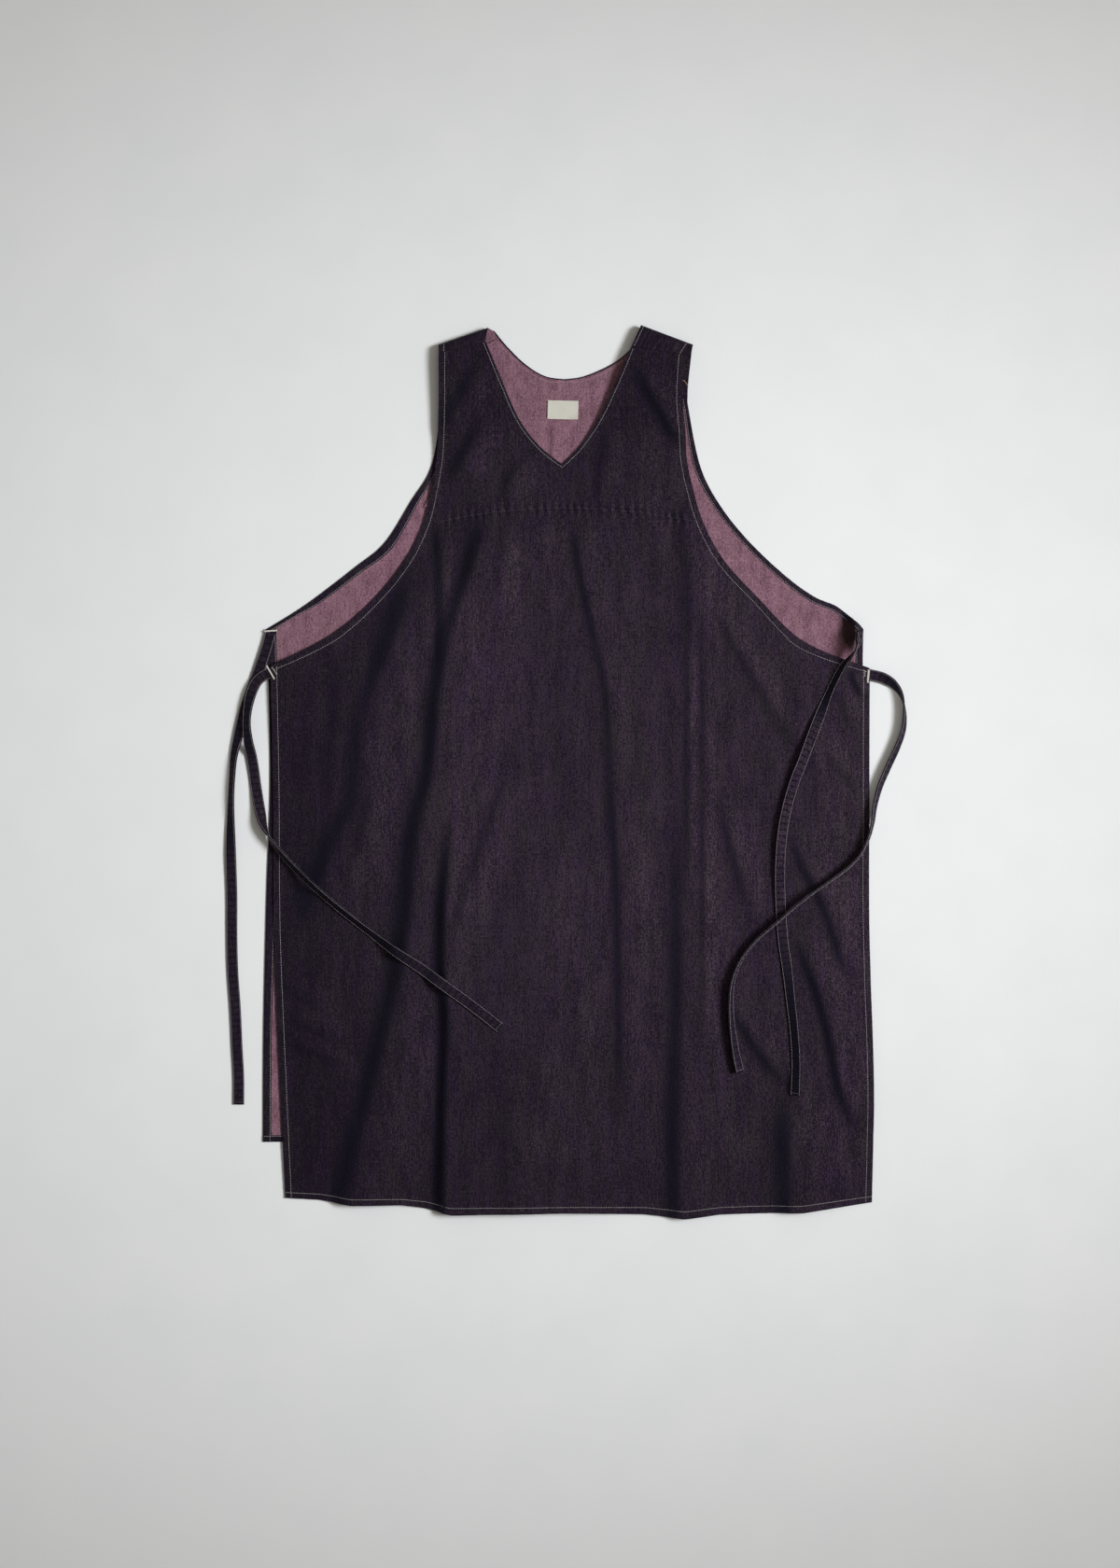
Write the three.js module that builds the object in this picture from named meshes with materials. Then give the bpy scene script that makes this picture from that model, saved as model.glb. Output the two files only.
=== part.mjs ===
// Wrap apron lying flat with its front up: a front and a back panel that join over the shoulders, a facing and a
// label inside the back neck, and four sewn ties. Millimetres, +Z up, shoulders towards +Y.
import * as THREE from "three";

const { lerp, smoothstep, degToRad } = THREE.MathUtils;

// Cloth and sewing
const CLOTH = 1.0; // one layer
const HEM_WIDTH = 11; // hems turned to the inside along sides, armholes and lower edges
const HEM_EXTRA = 0.9; // what a turned hem adds on the inside
const HEM_SLOPE = 1.5; // run of the slope at a hem's inner edge
const GAP = 0.3; // clearance between pieces that touch

// Heights of the middle of the front layer as it lies
const SIDE_REST = 5.6; // along the sides and armholes, where it lies on the back layer
const FLOOR_REST = 2.3; // along its hem, which reaches past the back layer
const LOFT = 8.2; // over the middle, where the two layers stay apart
const LOFT_REACH = 70; // from an edge to the full loft

// Shoulders
const TURN_RADIUS = 7; // of the middle of the cloth where it turns over a shoulder
const TURN_STEPS = 6;
const SHOULDER_TOP = CLOTH / 2 + 2 * TURN_RADIUS;

// Ties and label
const TIE_WIDTH = 13;
const TIE_THICKNESS = 2;
const TIE_EDGE = 0.8; // rounding of a tie's folded edges
const LABEL = { width: 36, height: 22, thickness: 1, x: -6, y: 427.5, turn: -1.5 };

// Each panel is a row of sections from its hem to its shoulders. A section runs from the left edge to the middle and
// on to the right edge, and above the neck it stops at neckLeft and starts again at neckRight. rows is the number of
// grid rows up to the next section.
const FRONT = {
  columns: 18,
  underarm: 4,
  neck: 9,
  sections: [
    { left: [-333, -502], middle: [-6, -519], right: [358, -507], rows: 4 },
    { left: [-339, -366], middle: [-6, -372], right: [360, -366], rows: 5 },
    { left: [-346, -190], middle: [-6, -190], right: [355, -190], rows: 4 },
    { left: [-350, -25], middle: [-6, -25], right: [355, -25], rows: 4 },
    { left: [-350, 125], middle: [-6, 140], right: [355, 122], rows: 2 },
    { left: [-280, 162], middle: [-6, 206], right: [277, 154], rows: 2 },
    { left: [-228, 206], middle: [-6, 254], right: [223, 206], rows: 1 },
    { left: [-193, 250], middle: [-6, 294], right: [183, 250], rows: 1 },
    { left: [-172, 294], middle: [-6, 327], right: [159, 294], rows: 1 },
    { left: [-160, 338], middle: [-7, 362], right: [146, 338], rows: 1 },
    { left: [-155, 368], neckLeft: [-33, 383], neckRight: [14, 383], right: [140, 368], rows: 1 },
    { left: [-153, 397], neckLeft: [-57, 414], neckRight: [36, 415], right: [138, 397], rows: 2 },
    { left: [-152, 440], neckLeft: [-76, 456], neckRight: [56, 456], right: [137, 440], rows: 2 },
  ],
};
const BACK = {
  columns: 9,
  underarm: 4,
  neck: 10,
  sections: [
    { left: [-360, -436], middle: [-6, -435], right: [350, -435], rows: 1 },
    { left: [-359, -300], middle: [-6, -289], right: [349, -289], rows: 1 },
    { left: [-357, -146], middle: [-6, -135], right: [349, -135], rows: 1 },
    { left: [-354, -3], middle: [-6, 30], right: [349, 30], rows: 1 },
    { left: [-351, 174], middle: [-6, 178], right: [348, 169], rows: 1 },
    { left: [-295, 207], middle: [-6, 239], right: [305, 199], rows: 1 },
    { left: [-251, 241], middle: [-6, 283], right: [255, 232], rows: 1 },
    { left: [-216, 270], middle: [-6, 321], right: [211, 274], rows: 1 },
    { left: [-185, 320], middle: [-6, 360], right: [178, 316], rows: 1 },
    { left: [-163, 360], middle: [-6, 409], right: [156, 360], rows: 1 },
    { left: [-155, 426], middle: [-4, 462], right: [141, 426], rows: 1 },
    { left: [-153, 441], neckLeft: [-28, 466], neckRight: [21, 466], right: [141, 445], rows: 1 },
    { left: [-152, 457], neckLeft: [-52, 481], neckRight: [47, 481], right: [142, 461], rows: 1 },
    { left: [-151, 476], neckLeft: [-75, 504], neckRight: [63, 502], right: [144, 479], rows: 1 },
    { left: [-150, 495], neckLeft: [-89, 517], neckRight: [75, 517], right: [143, 495], rows: 0 },
  ],
};
const FACING = {
  columns: 7,
  underarm: 0,
  neck: 2,
  sections: [
    { left: [-170, 312], middle: [-6, 312], right: [162, 312], rows: 1 },
    { left: [-147, 360], middle: [-6, 395], right: [141, 360], rows: 1 },
    { left: [-140, 426], middle: [-4, 461], right: [126, 426], rows: 1 },
    { left: [-139, 441], neckLeft: [-28, 465], neckRight: [21, 465], right: [127, 445], rows: 1 },
    { left: [-138, 457], neckLeft: [-53, 480], neckRight: [48, 480], right: [128, 461], rows: 1 },
    { left: [-138, 474], neckLeft: [-76, 502], neckRight: [64, 500], right: [129, 477], rows: 1 },
    { left: [-138, 484], neckLeft: [-84, 510], neckRight: [71, 509], right: [129, 486], rows: 0 },
  ],
};

// Where the cloth turns over each shoulder (fold) and where the seam lies on the front side (seam), each from the
// armhole to the neck.
const SHOULDERS = {
  left: { foldArm: [-152, 502], foldNeck: [-96, 521], seamArm: [-152, 492], seamNeck: [-97, 507] },
  right: { foldArm: [146, 502], foldNeck: [86, 525], seamArm: [140, 490], seamNeck: [74, 499] },
};

// How far the front hem hangs below the straight lines between its sections' points
const HEM_DIPS = [
  { x: -333, dip: 0 },
  { x: -293, dip: 0 },
  { x: -254, dip: 4 },
  { x: -196, dip: 1 },
  { x: -169, dip: 3 },
  { x: -137, dip: 9 },
  { x: -97, dip: 6 },
  { x: -6, dip: 0 },
  { x: 90, dip: 5 },
  { x: 137, dip: 12 },
  { x: 178, dip: 8 },
  { x: 277, dip: 9 },
  { x: 315, dip: 5 },
  { x: 358, dip: 0 },
];

// Folds of the front layer: a crest from head through waist to foot, its height, its width on the steep left side and
// on the gentle right side, and the length over which each end fades out
const FOLDS = [
  { head: [-86, 340], waist: [-171, -40], foot: [-258, -600], height: 11, steep: 26, gentle: 46, fade: 120 },
  { head: [-165, 280], waist: [-240, 33], foot: [-285, -190], height: 8, steep: 20, gentle: 34, fade: 90 },
  { head: [-145, -40], waist: [-145, -289], foot: [-136, -600], height: 6, steep: 12, gentle: 26, fade: 80 },
  { head: [10, 345], waist: [59, 19], foot: [84, -470], height: 5, steep: 22, gentle: 40, fade: 120 },
  { head: [132, -20], waist: [131, -289], foot: [139, -600], height: 5, steep: 12, gentle: 26, fade: 80 },
  { head: [-93, 150], waist: [-101, -25], foot: [-107, -200], height: 3, steep: 16, gentle: 28, fade: 90 },
  { head: [262, -120], waist: [317, -297], foot: [352, -450], height: 5, steep: 18, gentle: 32, fade: 80 },
  { head: [205, -255], waist: [244, -320], foot: [280, -390], height: 4, steep: 16, gentle: 30, fade: 50 },
  { head: [260, -350], waist: [266, -449], foot: [271, -600], height: 5, steep: 16, gentle: 36, fade: 60 },
  { head: [148, 310], waist: [158, 239], foot: [168, 150], height: 3, steep: 14, gentle: 24, fade: 60 },
];

// Routes of the ties from their sewn ends: place, turn of the flat tie about its length in degrees, and how far it
// rises over what lies under it
const TIE_ROUTES = {
  tie_back_left: [
    { x: -346, y: 169, turn: 0, rise: 0 },
    { x: -355, y: 152, turn: 0, rise: 0 },
    { x: -365, y: 130, turn: 0, rise: 0 },
    { x: -374, y: 101, turn: 0, rise: 0 },
    { x: -384, y: 73, turn: 5, rise: 0 },
    { x: -391, y: 42, turn: 30, rise: 0 },
    { x: -395, y: 19, turn: 70, rise: 0 },
    { x: -396, y: -5, turn: 90, rise: 0 },
    { x: -397, y: -36, turn: 120, rise: 0 },
    { x: -397, y: -69, turn: 155, rise: 0 },
    { x: -397, y: -102, turn: 180, rise: 0 },
    { x: -396, y: -146, turn: 180, rise: 0 },
    { x: -396, y: -190, turn: 180, rise: 0 },
    { x: -395, y: -234, turn: 180, rise: 0 },
    { x: -392, y: -278, turn: 180, rise: 0 },
    { x: -390, y: -322, turn: 180, rise: 0 },
    { x: -388, y: -361, turn: 180, rise: 0 },
    { x: -388, y: -392, turn: 180, rise: 0 },
  ],
  tie_front_left: [
    { x: -350.4, y: 118, turn: 0, rise: 1 },
    { x: -356, y: 117, turn: 0, rise: 1 },
    { x: -364, y: 112, turn: 0, rise: 1 },
    { x: -371, y: 101, turn: 0, rise: 0 },
    { x: -376, y: 83, turn: 20, rise: 0 },
    { x: -379, y: 66, turn: 70, rise: 0 },
    { x: -379, y: 50, turn: 110, rise: 0 },
    { x: -376, y: 32, turn: 150, rise: 0.5 },
    { x: -372, y: 8, turn: 170, rise: 0.5 },
    { x: -367, y: -21, turn: 160, rise: 0.5 },
    { x: -363, y: -48, turn: 130, rise: 0.8 },
    { x: -357, y: -66, turn: 110, rise: 1.5 },
    { x: -348, y: -82, turn: 100, rise: 1 },
    { x: -336, y: -97, turn: 105, rise: 0 },
    { x: -322, y: -112, turn: 110, rise: 0 },
    { x: -305, y: -128, turn: 115, rise: 0 },
    { x: -285, y: -146, turn: 115, rise: 0 },
    { x: -261, y: -166, turn: 125, rise: 0 },
    { x: -233, y: -188, turn: 145, rise: 0 },
    { x: -203, y: -210, turn: 165, rise: 0.8 },
    { x: -174, y: -231, turn: 180, rise: 0 },
    { x: -145, y: -254, turn: 180, rise: 0 },
    { x: -115, y: -276, turn: 180, rise: 0 },
    { x: -80, y: -302, turn: 180, rise: 0 },
  ],
  tie_back_right: [
    { x: 340, y: 166, turn: 0, rise: 0 },
    { x: 342, y: 155, turn: 15, rise: 0 },
    { x: 339, y: 144, turn: 45, rise: 0 },
    { x: 332, y: 135, turn: 75, rise: 0 },
    { x: 323, y: 124, turn: 75, rise: 0 },
    { x: 314, y: 108, turn: 45, rise: 0 },
    { x: 305, y: 86, turn: 20, rise: 0 },
    { x: 295, y: 63, turn: 5, rise: 0 },
    { x: 285, y: 38, turn: 0, rise: 0 },
    { x: 276, y: 14, turn: 0, rise: 0 },
    { x: 267, y: -9, turn: 0, rise: 0 },
    { x: 259, y: -35, turn: 0, rise: 0 },
    { x: 253, y: -63, turn: 0, rise: 0 },
    { x: 250, y: -90, turn: 0, rise: 0 },
    { x: 249, y: -120, turn: 0, rise: 0 },
    { x: 250, y: -158, turn: 0, rise: 0 },
    { x: 253, y: -198, turn: 5, rise: 0 },
    { x: 258, y: -233, turn: 15, rise: 0 },
    { x: 262, y: -268, turn: 25, rise: 0 },
    { x: 266, y: -305, turn: 30, rise: 0 },
    { x: 268, y: -340, turn: 35, rise: 0 },
    { x: 267, y: -380, turn: 35, rise: 0 },
  ],
  tie_front_right: [
    { x: 355.4, y: 114.5, turn: 0, rise: 1 },
    { x: 362, y: 113, turn: 0, rise: 1 },
    { x: 372, y: 110, turn: 10, rise: 1 },
    { x: 383, y: 103, turn: 35, rise: 0 },
    { x: 392, y: 91, turn: 65, rise: 0 },
    { x: 396, y: 74, turn: 85, rise: 0 },
    { x: 395, y: 51, turn: 70, rise: 0 },
    { x: 388, y: 30, turn: 45, rise: 0 },
    { x: 377, y: 6, turn: 40, rise: 0 },
    { x: 367, y: -18, turn: 50, rise: 0 },
    { x: 361, y: -40, turn: 60, rise: 0 },
    { x: 358, y: -60, turn: 70, rise: 0 },
    { x: 353, y: -79, turn: 80, rise: 0 },
    { x: 344, y: -97, turn: 85, rise: 0 },
    { x: 331, y: -111, turn: 85, rise: 0 },
    { x: 312, y: -125, turn: 85, rise: 0 },
    { x: 292, y: -139, turn: 85, rise: 0 },
    { x: 272, y: -154, turn: 80, rise: 0.8 },
    { x: 245, y: -177, turn: 80, rise: 0.8 },
    { x: 219, y: -200, turn: 80, rise: 0 },
    { x: 202, y: -223, turn: 80, rise: 0 },
    { x: 193, y: -248, turn: 75, rise: 0 },
    { x: 191, y: -275, turn: 65, rise: 0 },
    { x: 193, y: -304, turn: 50, rise: 0 },
    { x: 197, y: -331, turn: 35, rise: 0 },
    { x: 202, y: -353, turn: 30, rise: 0 },
  ],
};

const DARK_CLOTH = { color: "#2c2730", roughness: 0.9, metalness: 0 };
const PINK_CLOTH = { color: "#7a5a68", roughness: 0.9, metalness: 0 };
const LABEL_CLOTH = { color: "#e0ddd0", roughness: 0.85, metalness: 0 };

const plan = ([x, y]) => new THREE.Vector2(x, y);

// A smooth curve through a boundary's points, one for each section, with a corner at one of them
function boundary(points, corner) {
  const pieces = [points.slice(0, corner + 1), points.slice(corner)].map((part) => new THREE.SplineCurve(part));
  const last = points.length - 1;
  return (v) => {
    if (v < corner) return pieces[0].getPoint(v / corner);
    return pieces[1].getPoint((v - corner) / (last - corner));
  };
}

// The outer and the inner boundary of both halves of a panel
function halves(panel) {
  const { sections, underarm, neck } = panel;
  const half = (side, neckSide) => ({
    outer: boundary(sections.map((s) => plan(s[side])), underarm),
    inner: boundary(sections.map((s) => plan(s.middle ?? s[neckSide])), neck),
  });
  return { left: half("left", "neckLeft"), right: half("right", "neckRight") };
}

// Stations of a panel's rows, counted in sections, with two more at the foot for a hem
function stations(panel, hemmed) {
  const [first, second] = panel.sections;
  const length = plan(first.middle).distanceTo(plan(second.middle));
  const found = hemmed ? [0, HEM_WIDTH / length, (HEM_WIDTH + HEM_SLOPE) / length] : [0];
  panel.sections.forEach(({ rows }, i) => {
    const from = i === 0 ? found.at(-1) : i;
    for (let k = 1; k <= rows; k++) found.push(lerp(from, i + 1, k / rows));
  });
  return found;
}

// A panel's middle surface as a grid of points and quads, seen from above, with the wall that hems add at each point.
// place gives a point's height, and where the cloth hangs lower than its section.
function panelGrid(panel, { hemmed, place }) {
  const edges = hemmed ? [0, HEM_WIDTH, HEM_WIDTH + HEM_SLOPE] : [0];
  const sides = halves(panel);
  const grid = { points: [], extra: [], quads: [], lines: { left: [], right: [] } };
  const rows = stations(panel, hemmed);
  rows.forEach((v, row) => {
    for (const side of ["left", "right"]) {
      const outer = sides[side].outer(v);
      const inner = sides[side].inner(v);
      const width = outer.distanceTo(inner);
      const line = [];
      for (let column = 0; column < edges.length + panel.columns; column++) {
        const onEdge = column < edges.length;
        const share = (column - edges.length + 1) / panel.columns;
        const along = onEdge ? edges[column] : lerp(edges.at(-1), width, share);
        if (side === "right" && share === 1 && v <= panel.neck) {
          line.push(grid.lines.left[row].at(-1));
          continue;
        }
        const at = outer.clone().lerp(inner, along / width);
        line.push(grid.points.push(place(at.x, at.y, v)) - 1);
        grid.extra.push(hemmed && (column < 2 || row < 2) ? HEM_EXTRA : 0);
      }
      grid.lines[side].push(line);
    }
  });
  return grid;
}

// Joins the lines of points of both halves into quads that face up
function joinLines(grid) {
  for (const [side, lines] of Object.entries(grid.lines)) {
    for (let r = 0; r + 1 < lines.length; r++) {
      for (let c = 0; c + 1 < lines[r].length; c++) {
        const quad = [lines[r][c], lines[r][c + 1], lines[r + 1][c + 1], lines[r + 1][c]];
        grid.quads.push(side === "left" ? quad : quad.reverse());
      }
    }
  }
  return grid;
}

// A closed wall of cloth about a grid: its outer face, its inner face with the hems, and a rim along every free edge
function clothWall({ points, quads, extra }, outerFaceUp) {
  const faces = quads.map((quad) => (outerFaceUp ? quad : [...quad].reverse()));
  const normals = points.map(() => new THREE.Vector3());
  for (const [a, b, c, d] of faces) {
    const across = points[c].clone().sub(points[a]);
    const normal = across.cross(points[d].clone().sub(points[b]));
    for (const corner of [a, b, c, d]) normals[corner].add(normal);
  }
  normals.forEach((normal) => normal.normalize());
  const outer = points.map((p, i) => p.clone().addScaledVector(normals[i], CLOTH / 2));
  const inner = points.map((p, i) => p.clone().addScaledVector(normals[i], -CLOTH / 2 - extra[i]));
  const under = points.length;
  const free = new Map();
  const triangles = [];
  for (const [a, b, c, d] of faces) {
    triangles.push(a, b, c, a, c, d);
    triangles.push(under + a, under + c, under + b, under + a, under + d, under + c);
    for (const [from, to] of [[a, b], [b, c], [c, d], [d, a]]) {
      if (!free.delete(`${to} ${from}`)) free.set(`${from} ${to}`, [from, to]);
    }
  }
  for (const [from, to] of free.values()) {
    triangles.push(from, under + from, under + to, from, under + to, to);
  }
  const geometry = new THREE.BufferGeometry().setFromPoints([...outer, ...inner]);
  geometry.setIndex(triangles);
  geometry.computeVertexNormals();
  return geometry;
}

function cloth(name, geometry, finish) {
  const mesh = new THREE.Mesh(geometry, new THREE.MeshStandardMaterial(finish));
  mesh.name = name;
  return mesh;
}

// Value of a table at x, straight between its rows
function between(rows, x, key) {
  const next = rows.findIndex((row) => row.x >= x);
  if (next < 1) return rows.at(next)[key];
  const [low, high] = [rows[next - 1], rows[next]];
  return lerp(low[key], high[key], (x - low.x) / (high.x - low.x));
}

// The crest of a fold at y, on the parabola through its three points
function crestX({ head, waist, foot }, y) {
  const [h, w, f] = [head[1], waist[1], foot[1]];
  const atHead = (head[0] * (y - w) * (y - f)) / ((h - w) * (h - f));
  const atWaist = (waist[0] * (y - h) * (y - f)) / ((w - h) * (w - f));
  const atFoot = (foot[0] * (y - h) * (y - w)) / ((f - h) * (f - w));
  return atHead + atWaist + atFoot;
}

// Height of all folds at a point: each a bell-shaped ridge, steeper on its left
function foldHeight(x, y) {
  return FOLDS.reduce((height, fold) => {
    const across = x - crestX(fold, y);
    const width = across < 0 ? fold.steep : fold.gentle;
    const foot = smoothstep(y, fold.foot[1], fold.foot[1] + fold.fade);
    const head = smoothstep(y, fold.head[1] - fold.fade, fold.head[1]);
    return height + fold.height * Math.exp(-((across / width) ** 2)) * foot * (1 - head);
  }, 0);
}

// Points along a panel's whole edge, to measure how far inside it another point lies
function edgePoints(panel) {
  const last = panel.sections.length - 1;
  const steps = 10 * last;
  const found = [];
  for (const { outer, inner } of Object.values(halves(panel))) {
    for (let i = 0; i <= steps; i++) {
      const v = (i / steps) * last;
      found.push(outer(v));
      if (v > panel.neck) found.push(inner(v));
      found.push(outer(0).lerp(inner(0), i / steps));
    }
  }
  return found;
}

// The front's last section is its shoulder seam, a gap short of the end of the back's cloth
function seamSection() {
  const short = (seam, fold) => {
    const away = plan(seam).sub(plan(fold)).setLength(GAP);
    return plan(seam).add(away).toArray();
  };
  const { left, right } = SHOULDERS;
  return {
    left: short(left.seamArm, left.foldArm),
    neckLeft: short(left.seamNeck, left.foldNeck),
    neckRight: short(right.seamNeck, right.foldNeck),
    right: short(right.seamArm, right.foldArm),
    rows: 0,
  };
}

function frontGeometry() {
  const panel = { ...FRONT, sections: [...FRONT.sections, seamSection()] };
  const edge = edgePoints(panel);
  const last = panel.sections.length - 1;
  const backHem = BACK.sections[0].middle[1];
  const place = (x, y, v) => {
    const inside = Math.min(...edge.map((p) => Math.hypot(p.x - x, p.y - y)));
    const rest = lerp(FLOOR_REST, SIDE_REST, smoothstep(y, backHem - 60, backHem + 20));
    const lying = lerp(rest, LOFT, smoothstep(inside, 0, LOFT_REACH)) + foldHeight(x, y);
    const hang = between(HEM_DIPS, x, "dip") * Math.max(0, 1 - v) ** 2;
    return new THREE.Vector3(x, y - hang, lerp(lying, SHOULDER_TOP, smoothstep(v, panel.neck, last)));
  };
  return clothWall(joinLines(panelGrid(panel, { hemmed: true, place })), true);
}

// Carries the back's lines over a shoulder: half a turn from the surface up, then flat to the seam
function turnOver(grid, side) {
  const { foldArm, foldNeck, seamArm, seamNeck } = SHOULDERS[side];
  const start = grid.lines[side].at(-1);
  const arm = grid.points[start[0]];
  const length = arm.distanceTo(grid.points[start.at(-1)]);
  const carry = start.map((index) => {
    const share = arm.distanceTo(grid.points[index]) / length;
    const fold = plan(foldArm).lerp(plan(foldNeck), share);
    const seam = plan(seamArm).lerp(plan(seamNeck), share);
    const from = new THREE.Vector2(grid.points[index].x, grid.points[index].y);
    const over = fold.clone().add(seam.clone().sub(fold).setLength(TURN_RADIUS));
    return { from, fold, over, seam, extra: grid.extra[index] };
  });
  const add = (at, z, extra) => {
    grid.extra.push(extra);
    return grid.points.push(new THREE.Vector3(at.x, at.y, z)) - 1;
  };
  for (let step = 1; step <= TURN_STEPS; step++) {
    const angle = (Math.PI * step) / TURN_STEPS;
    const z = CLOTH / 2 + TURN_RADIUS * (1 - Math.cos(angle));
    const line = carry.map(({ from, fold, over, extra }) => {
      const base = angle < Math.PI / 2 ? from : over;
      return add(base.clone().lerp(fold, Math.sin(angle)), z, extra);
    });
    grid.lines[side].push(line);
  }
  grid.lines[side].push(carry.map(({ seam, extra }) => add(seam, SHOULDER_TOP, extra)));
}

function backGeometry() {
  const place = (x, y) => new THREE.Vector3(x, y, CLOTH / 2);
  const grid = panelGrid(BACK, { hemmed: true, place });
  turnOver(grid, "left");
  turnOver(grid, "right");
  return clothWall(joinLines(grid), false);
}

function facingGeometry() {
  const place = (x, y) => new THREE.Vector3(x, y, CLOTH + GAP + CLOTH / 2);
  return clothWall(joinLines(panelGrid(FACING, { hemmed: false, place })), true);
}

// Height of the highest thing below a place, or of the surface that all lies on
const straightDown = new THREE.Vector3(0, 0, -1);
function highestAt(things, x, y) {
  const ray = new THREE.Raycaster(new THREE.Vector3(x, y, 200), straightDown);
  const hits = ray.intersectObjects(things);
  return hits.length ? hits[0].point.z : 0;
}

// The middle line of a tie: each route point lies on the highest thing under the tie there
function tieLine(route, things) {
  const flat = new THREE.CatmullRomCurve3(route.map(({ x, y }) => new THREE.Vector3(x, y, 0)));
  return route.map(({ x, y, turn, rise }, i) => {
    const ahead = flat.getTangent(i / (route.length - 1));
    const across = new THREE.Vector3(-ahead.y, ahead.x, 0);
    const lying = Math.abs(Math.cos(degToRad(turn)));
    const standing = Math.abs(Math.sin(degToRad(turn)));
    const reach = (TIE_WIDTH * lying + TIE_THICKNESS * standing) / 2;
    let bed = 0;
    for (const forth of [-1, -0.5, 0, 0.5, 1]) {
      for (const aside of [-1, -0.5, 0, 0.5, 1]) {
        const at = new THREE.Vector3(x, y, 0);
        at.addScaledVector(ahead, forth * TIE_WIDTH * 0.6).addScaledVector(across, aside * reach);
        bed = Math.max(bed, highestAt(things, at.x, at.y));
      }
    }
    const halfHeight = (TIE_THICKNESS * lying + TIE_WIDTH * standing) / 2;
    return new THREE.Vector3(x, y, bed + GAP + halfHeight + rise);
  });
}

// A flat tie with rounded edges, swept along its line and turned about it as its route says
function tieGeometry(route, things) {
  const line = new THREE.CatmullRomCurve3(tieLine(route, things));
  const [w, t] = [TIE_WIDTH / 2, TIE_THICKNESS / 2];
  const section = [[w, 0], [w - TIE_EDGE, t], [TIE_EDGE - w, t], [-w, 0], [TIE_EDGE - w, -t], [w - TIE_EDGE, -t]];
  const steps = 2 * (route.length - 1);
  const points = [];
  for (let i = 0; i <= steps; i++) {
    const at = line.getPoint(i / steps);
    const ahead = line.getTangent(i / steps);
    const across = new THREE.Vector3(-ahead.y, ahead.x, 0).normalize();
    const up = ahead.clone().cross(across);
    const row = Math.min(Math.floor(i / 2), route.length - 2);
    const turn = degToRad(lerp(route[row].turn, route[row + 1].turn, i / 2 - row));
    const wide = across.clone().multiplyScalar(Math.cos(turn)).addScaledVector(up, Math.sin(turn));
    const thick = up.clone().multiplyScalar(Math.cos(turn)).addScaledVector(across, -Math.sin(turn));
    for (const [u, v] of section) points.push(at.clone().addScaledVector(wide, u).addScaledVector(thick, v));
  }
  const n = section.length;
  const triangles = [];
  for (let i = 0; i < steps; i++) {
    for (let k = 0; k < n; k++) {
      const [a, b] = [i * n + k, i * n + ((k + 1) % n)];
      triangles.push(a, b, b + n, a, b + n, a + n);
    }
  }
  const end = steps * n;
  for (let k = 1; k + 1 < n; k++) {
    triangles.push(0, k + 1, k);
    triangles.push(end, end + k, end + k + 1);
  }
  const geometry = new THREE.BufferGeometry().setFromPoints(points);
  geometry.setIndex(triangles);
  geometry.computeVertexNormals();
  return geometry;
}

const apron = new THREE.Group();
const front = cloth("front_panel", frontGeometry(), DARK_CLOTH);
const back = cloth("back_panel", backGeometry(), DARK_CLOTH);
const facing = cloth("back_neck_facing", facingGeometry(), PINK_CLOTH);
apron.add(front, back, facing);

const patch = new THREE.BoxGeometry(LABEL.width, LABEL.height, LABEL.thickness);
const label = cloth("neck_label", patch, LABEL_CLOTH);
label.position.set(LABEL.x, LABEL.y, 2 * (CLOTH + GAP) + LABEL.thickness / 2);
label.rotation.z = degToRad(LABEL.turn);
apron.add(label);

for (const [name, route] of Object.entries(TIE_ROUTES)) {
  apron.updateMatrixWorld(true);
  apron.add(cloth(name, tieGeometry(route, [...apron.children]), DARK_CLOTH));
}

export default apron;
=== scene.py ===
"""Dresses the wrap apron as it lies: two hemmed cloth panels, neck facing, label, ties and stitching.

Tables and fields give lengths in millimetres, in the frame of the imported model: +X to the right, +Y towards
the shoulders, +Z up out of the front. mesh_object turns them to metres.
"""

import logging
import math
from dataclasses import dataclass
from enum import Enum

import bpy
import numpy as np
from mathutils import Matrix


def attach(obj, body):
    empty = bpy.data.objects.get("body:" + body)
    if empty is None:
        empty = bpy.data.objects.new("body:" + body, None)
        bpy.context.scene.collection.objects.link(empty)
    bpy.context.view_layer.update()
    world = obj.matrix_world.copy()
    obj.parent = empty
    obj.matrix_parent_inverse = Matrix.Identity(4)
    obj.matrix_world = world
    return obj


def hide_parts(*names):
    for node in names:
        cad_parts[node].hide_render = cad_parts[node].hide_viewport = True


Array = np.ndarray
Tree = bpy.types.NodeTree
Socket = bpy.types.NodeSocket
Piece = bpy.types.Object

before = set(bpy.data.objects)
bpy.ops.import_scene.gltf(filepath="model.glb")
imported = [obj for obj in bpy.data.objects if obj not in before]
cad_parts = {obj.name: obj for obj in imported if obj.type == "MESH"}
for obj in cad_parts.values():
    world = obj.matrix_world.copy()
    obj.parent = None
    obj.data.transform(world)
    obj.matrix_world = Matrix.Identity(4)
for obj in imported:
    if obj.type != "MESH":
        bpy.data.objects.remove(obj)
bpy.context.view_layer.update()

log = logging.getLogger("apron")

MM = 0.001
BODY = "root"
WEAVE_MAP = "weave"
# Each point's normal x, from which the cloth finishes paint shade on slopes that lean left, away from the key
# light
LEAN_MAP = "lean"
UP = np.array([0.0, 0.0, 1.0])

# How curves are read, in parts of a section: this clear of corners and ends, and over this to find their way
CLEAR = 1e-3
STEP = 1e-4

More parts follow.
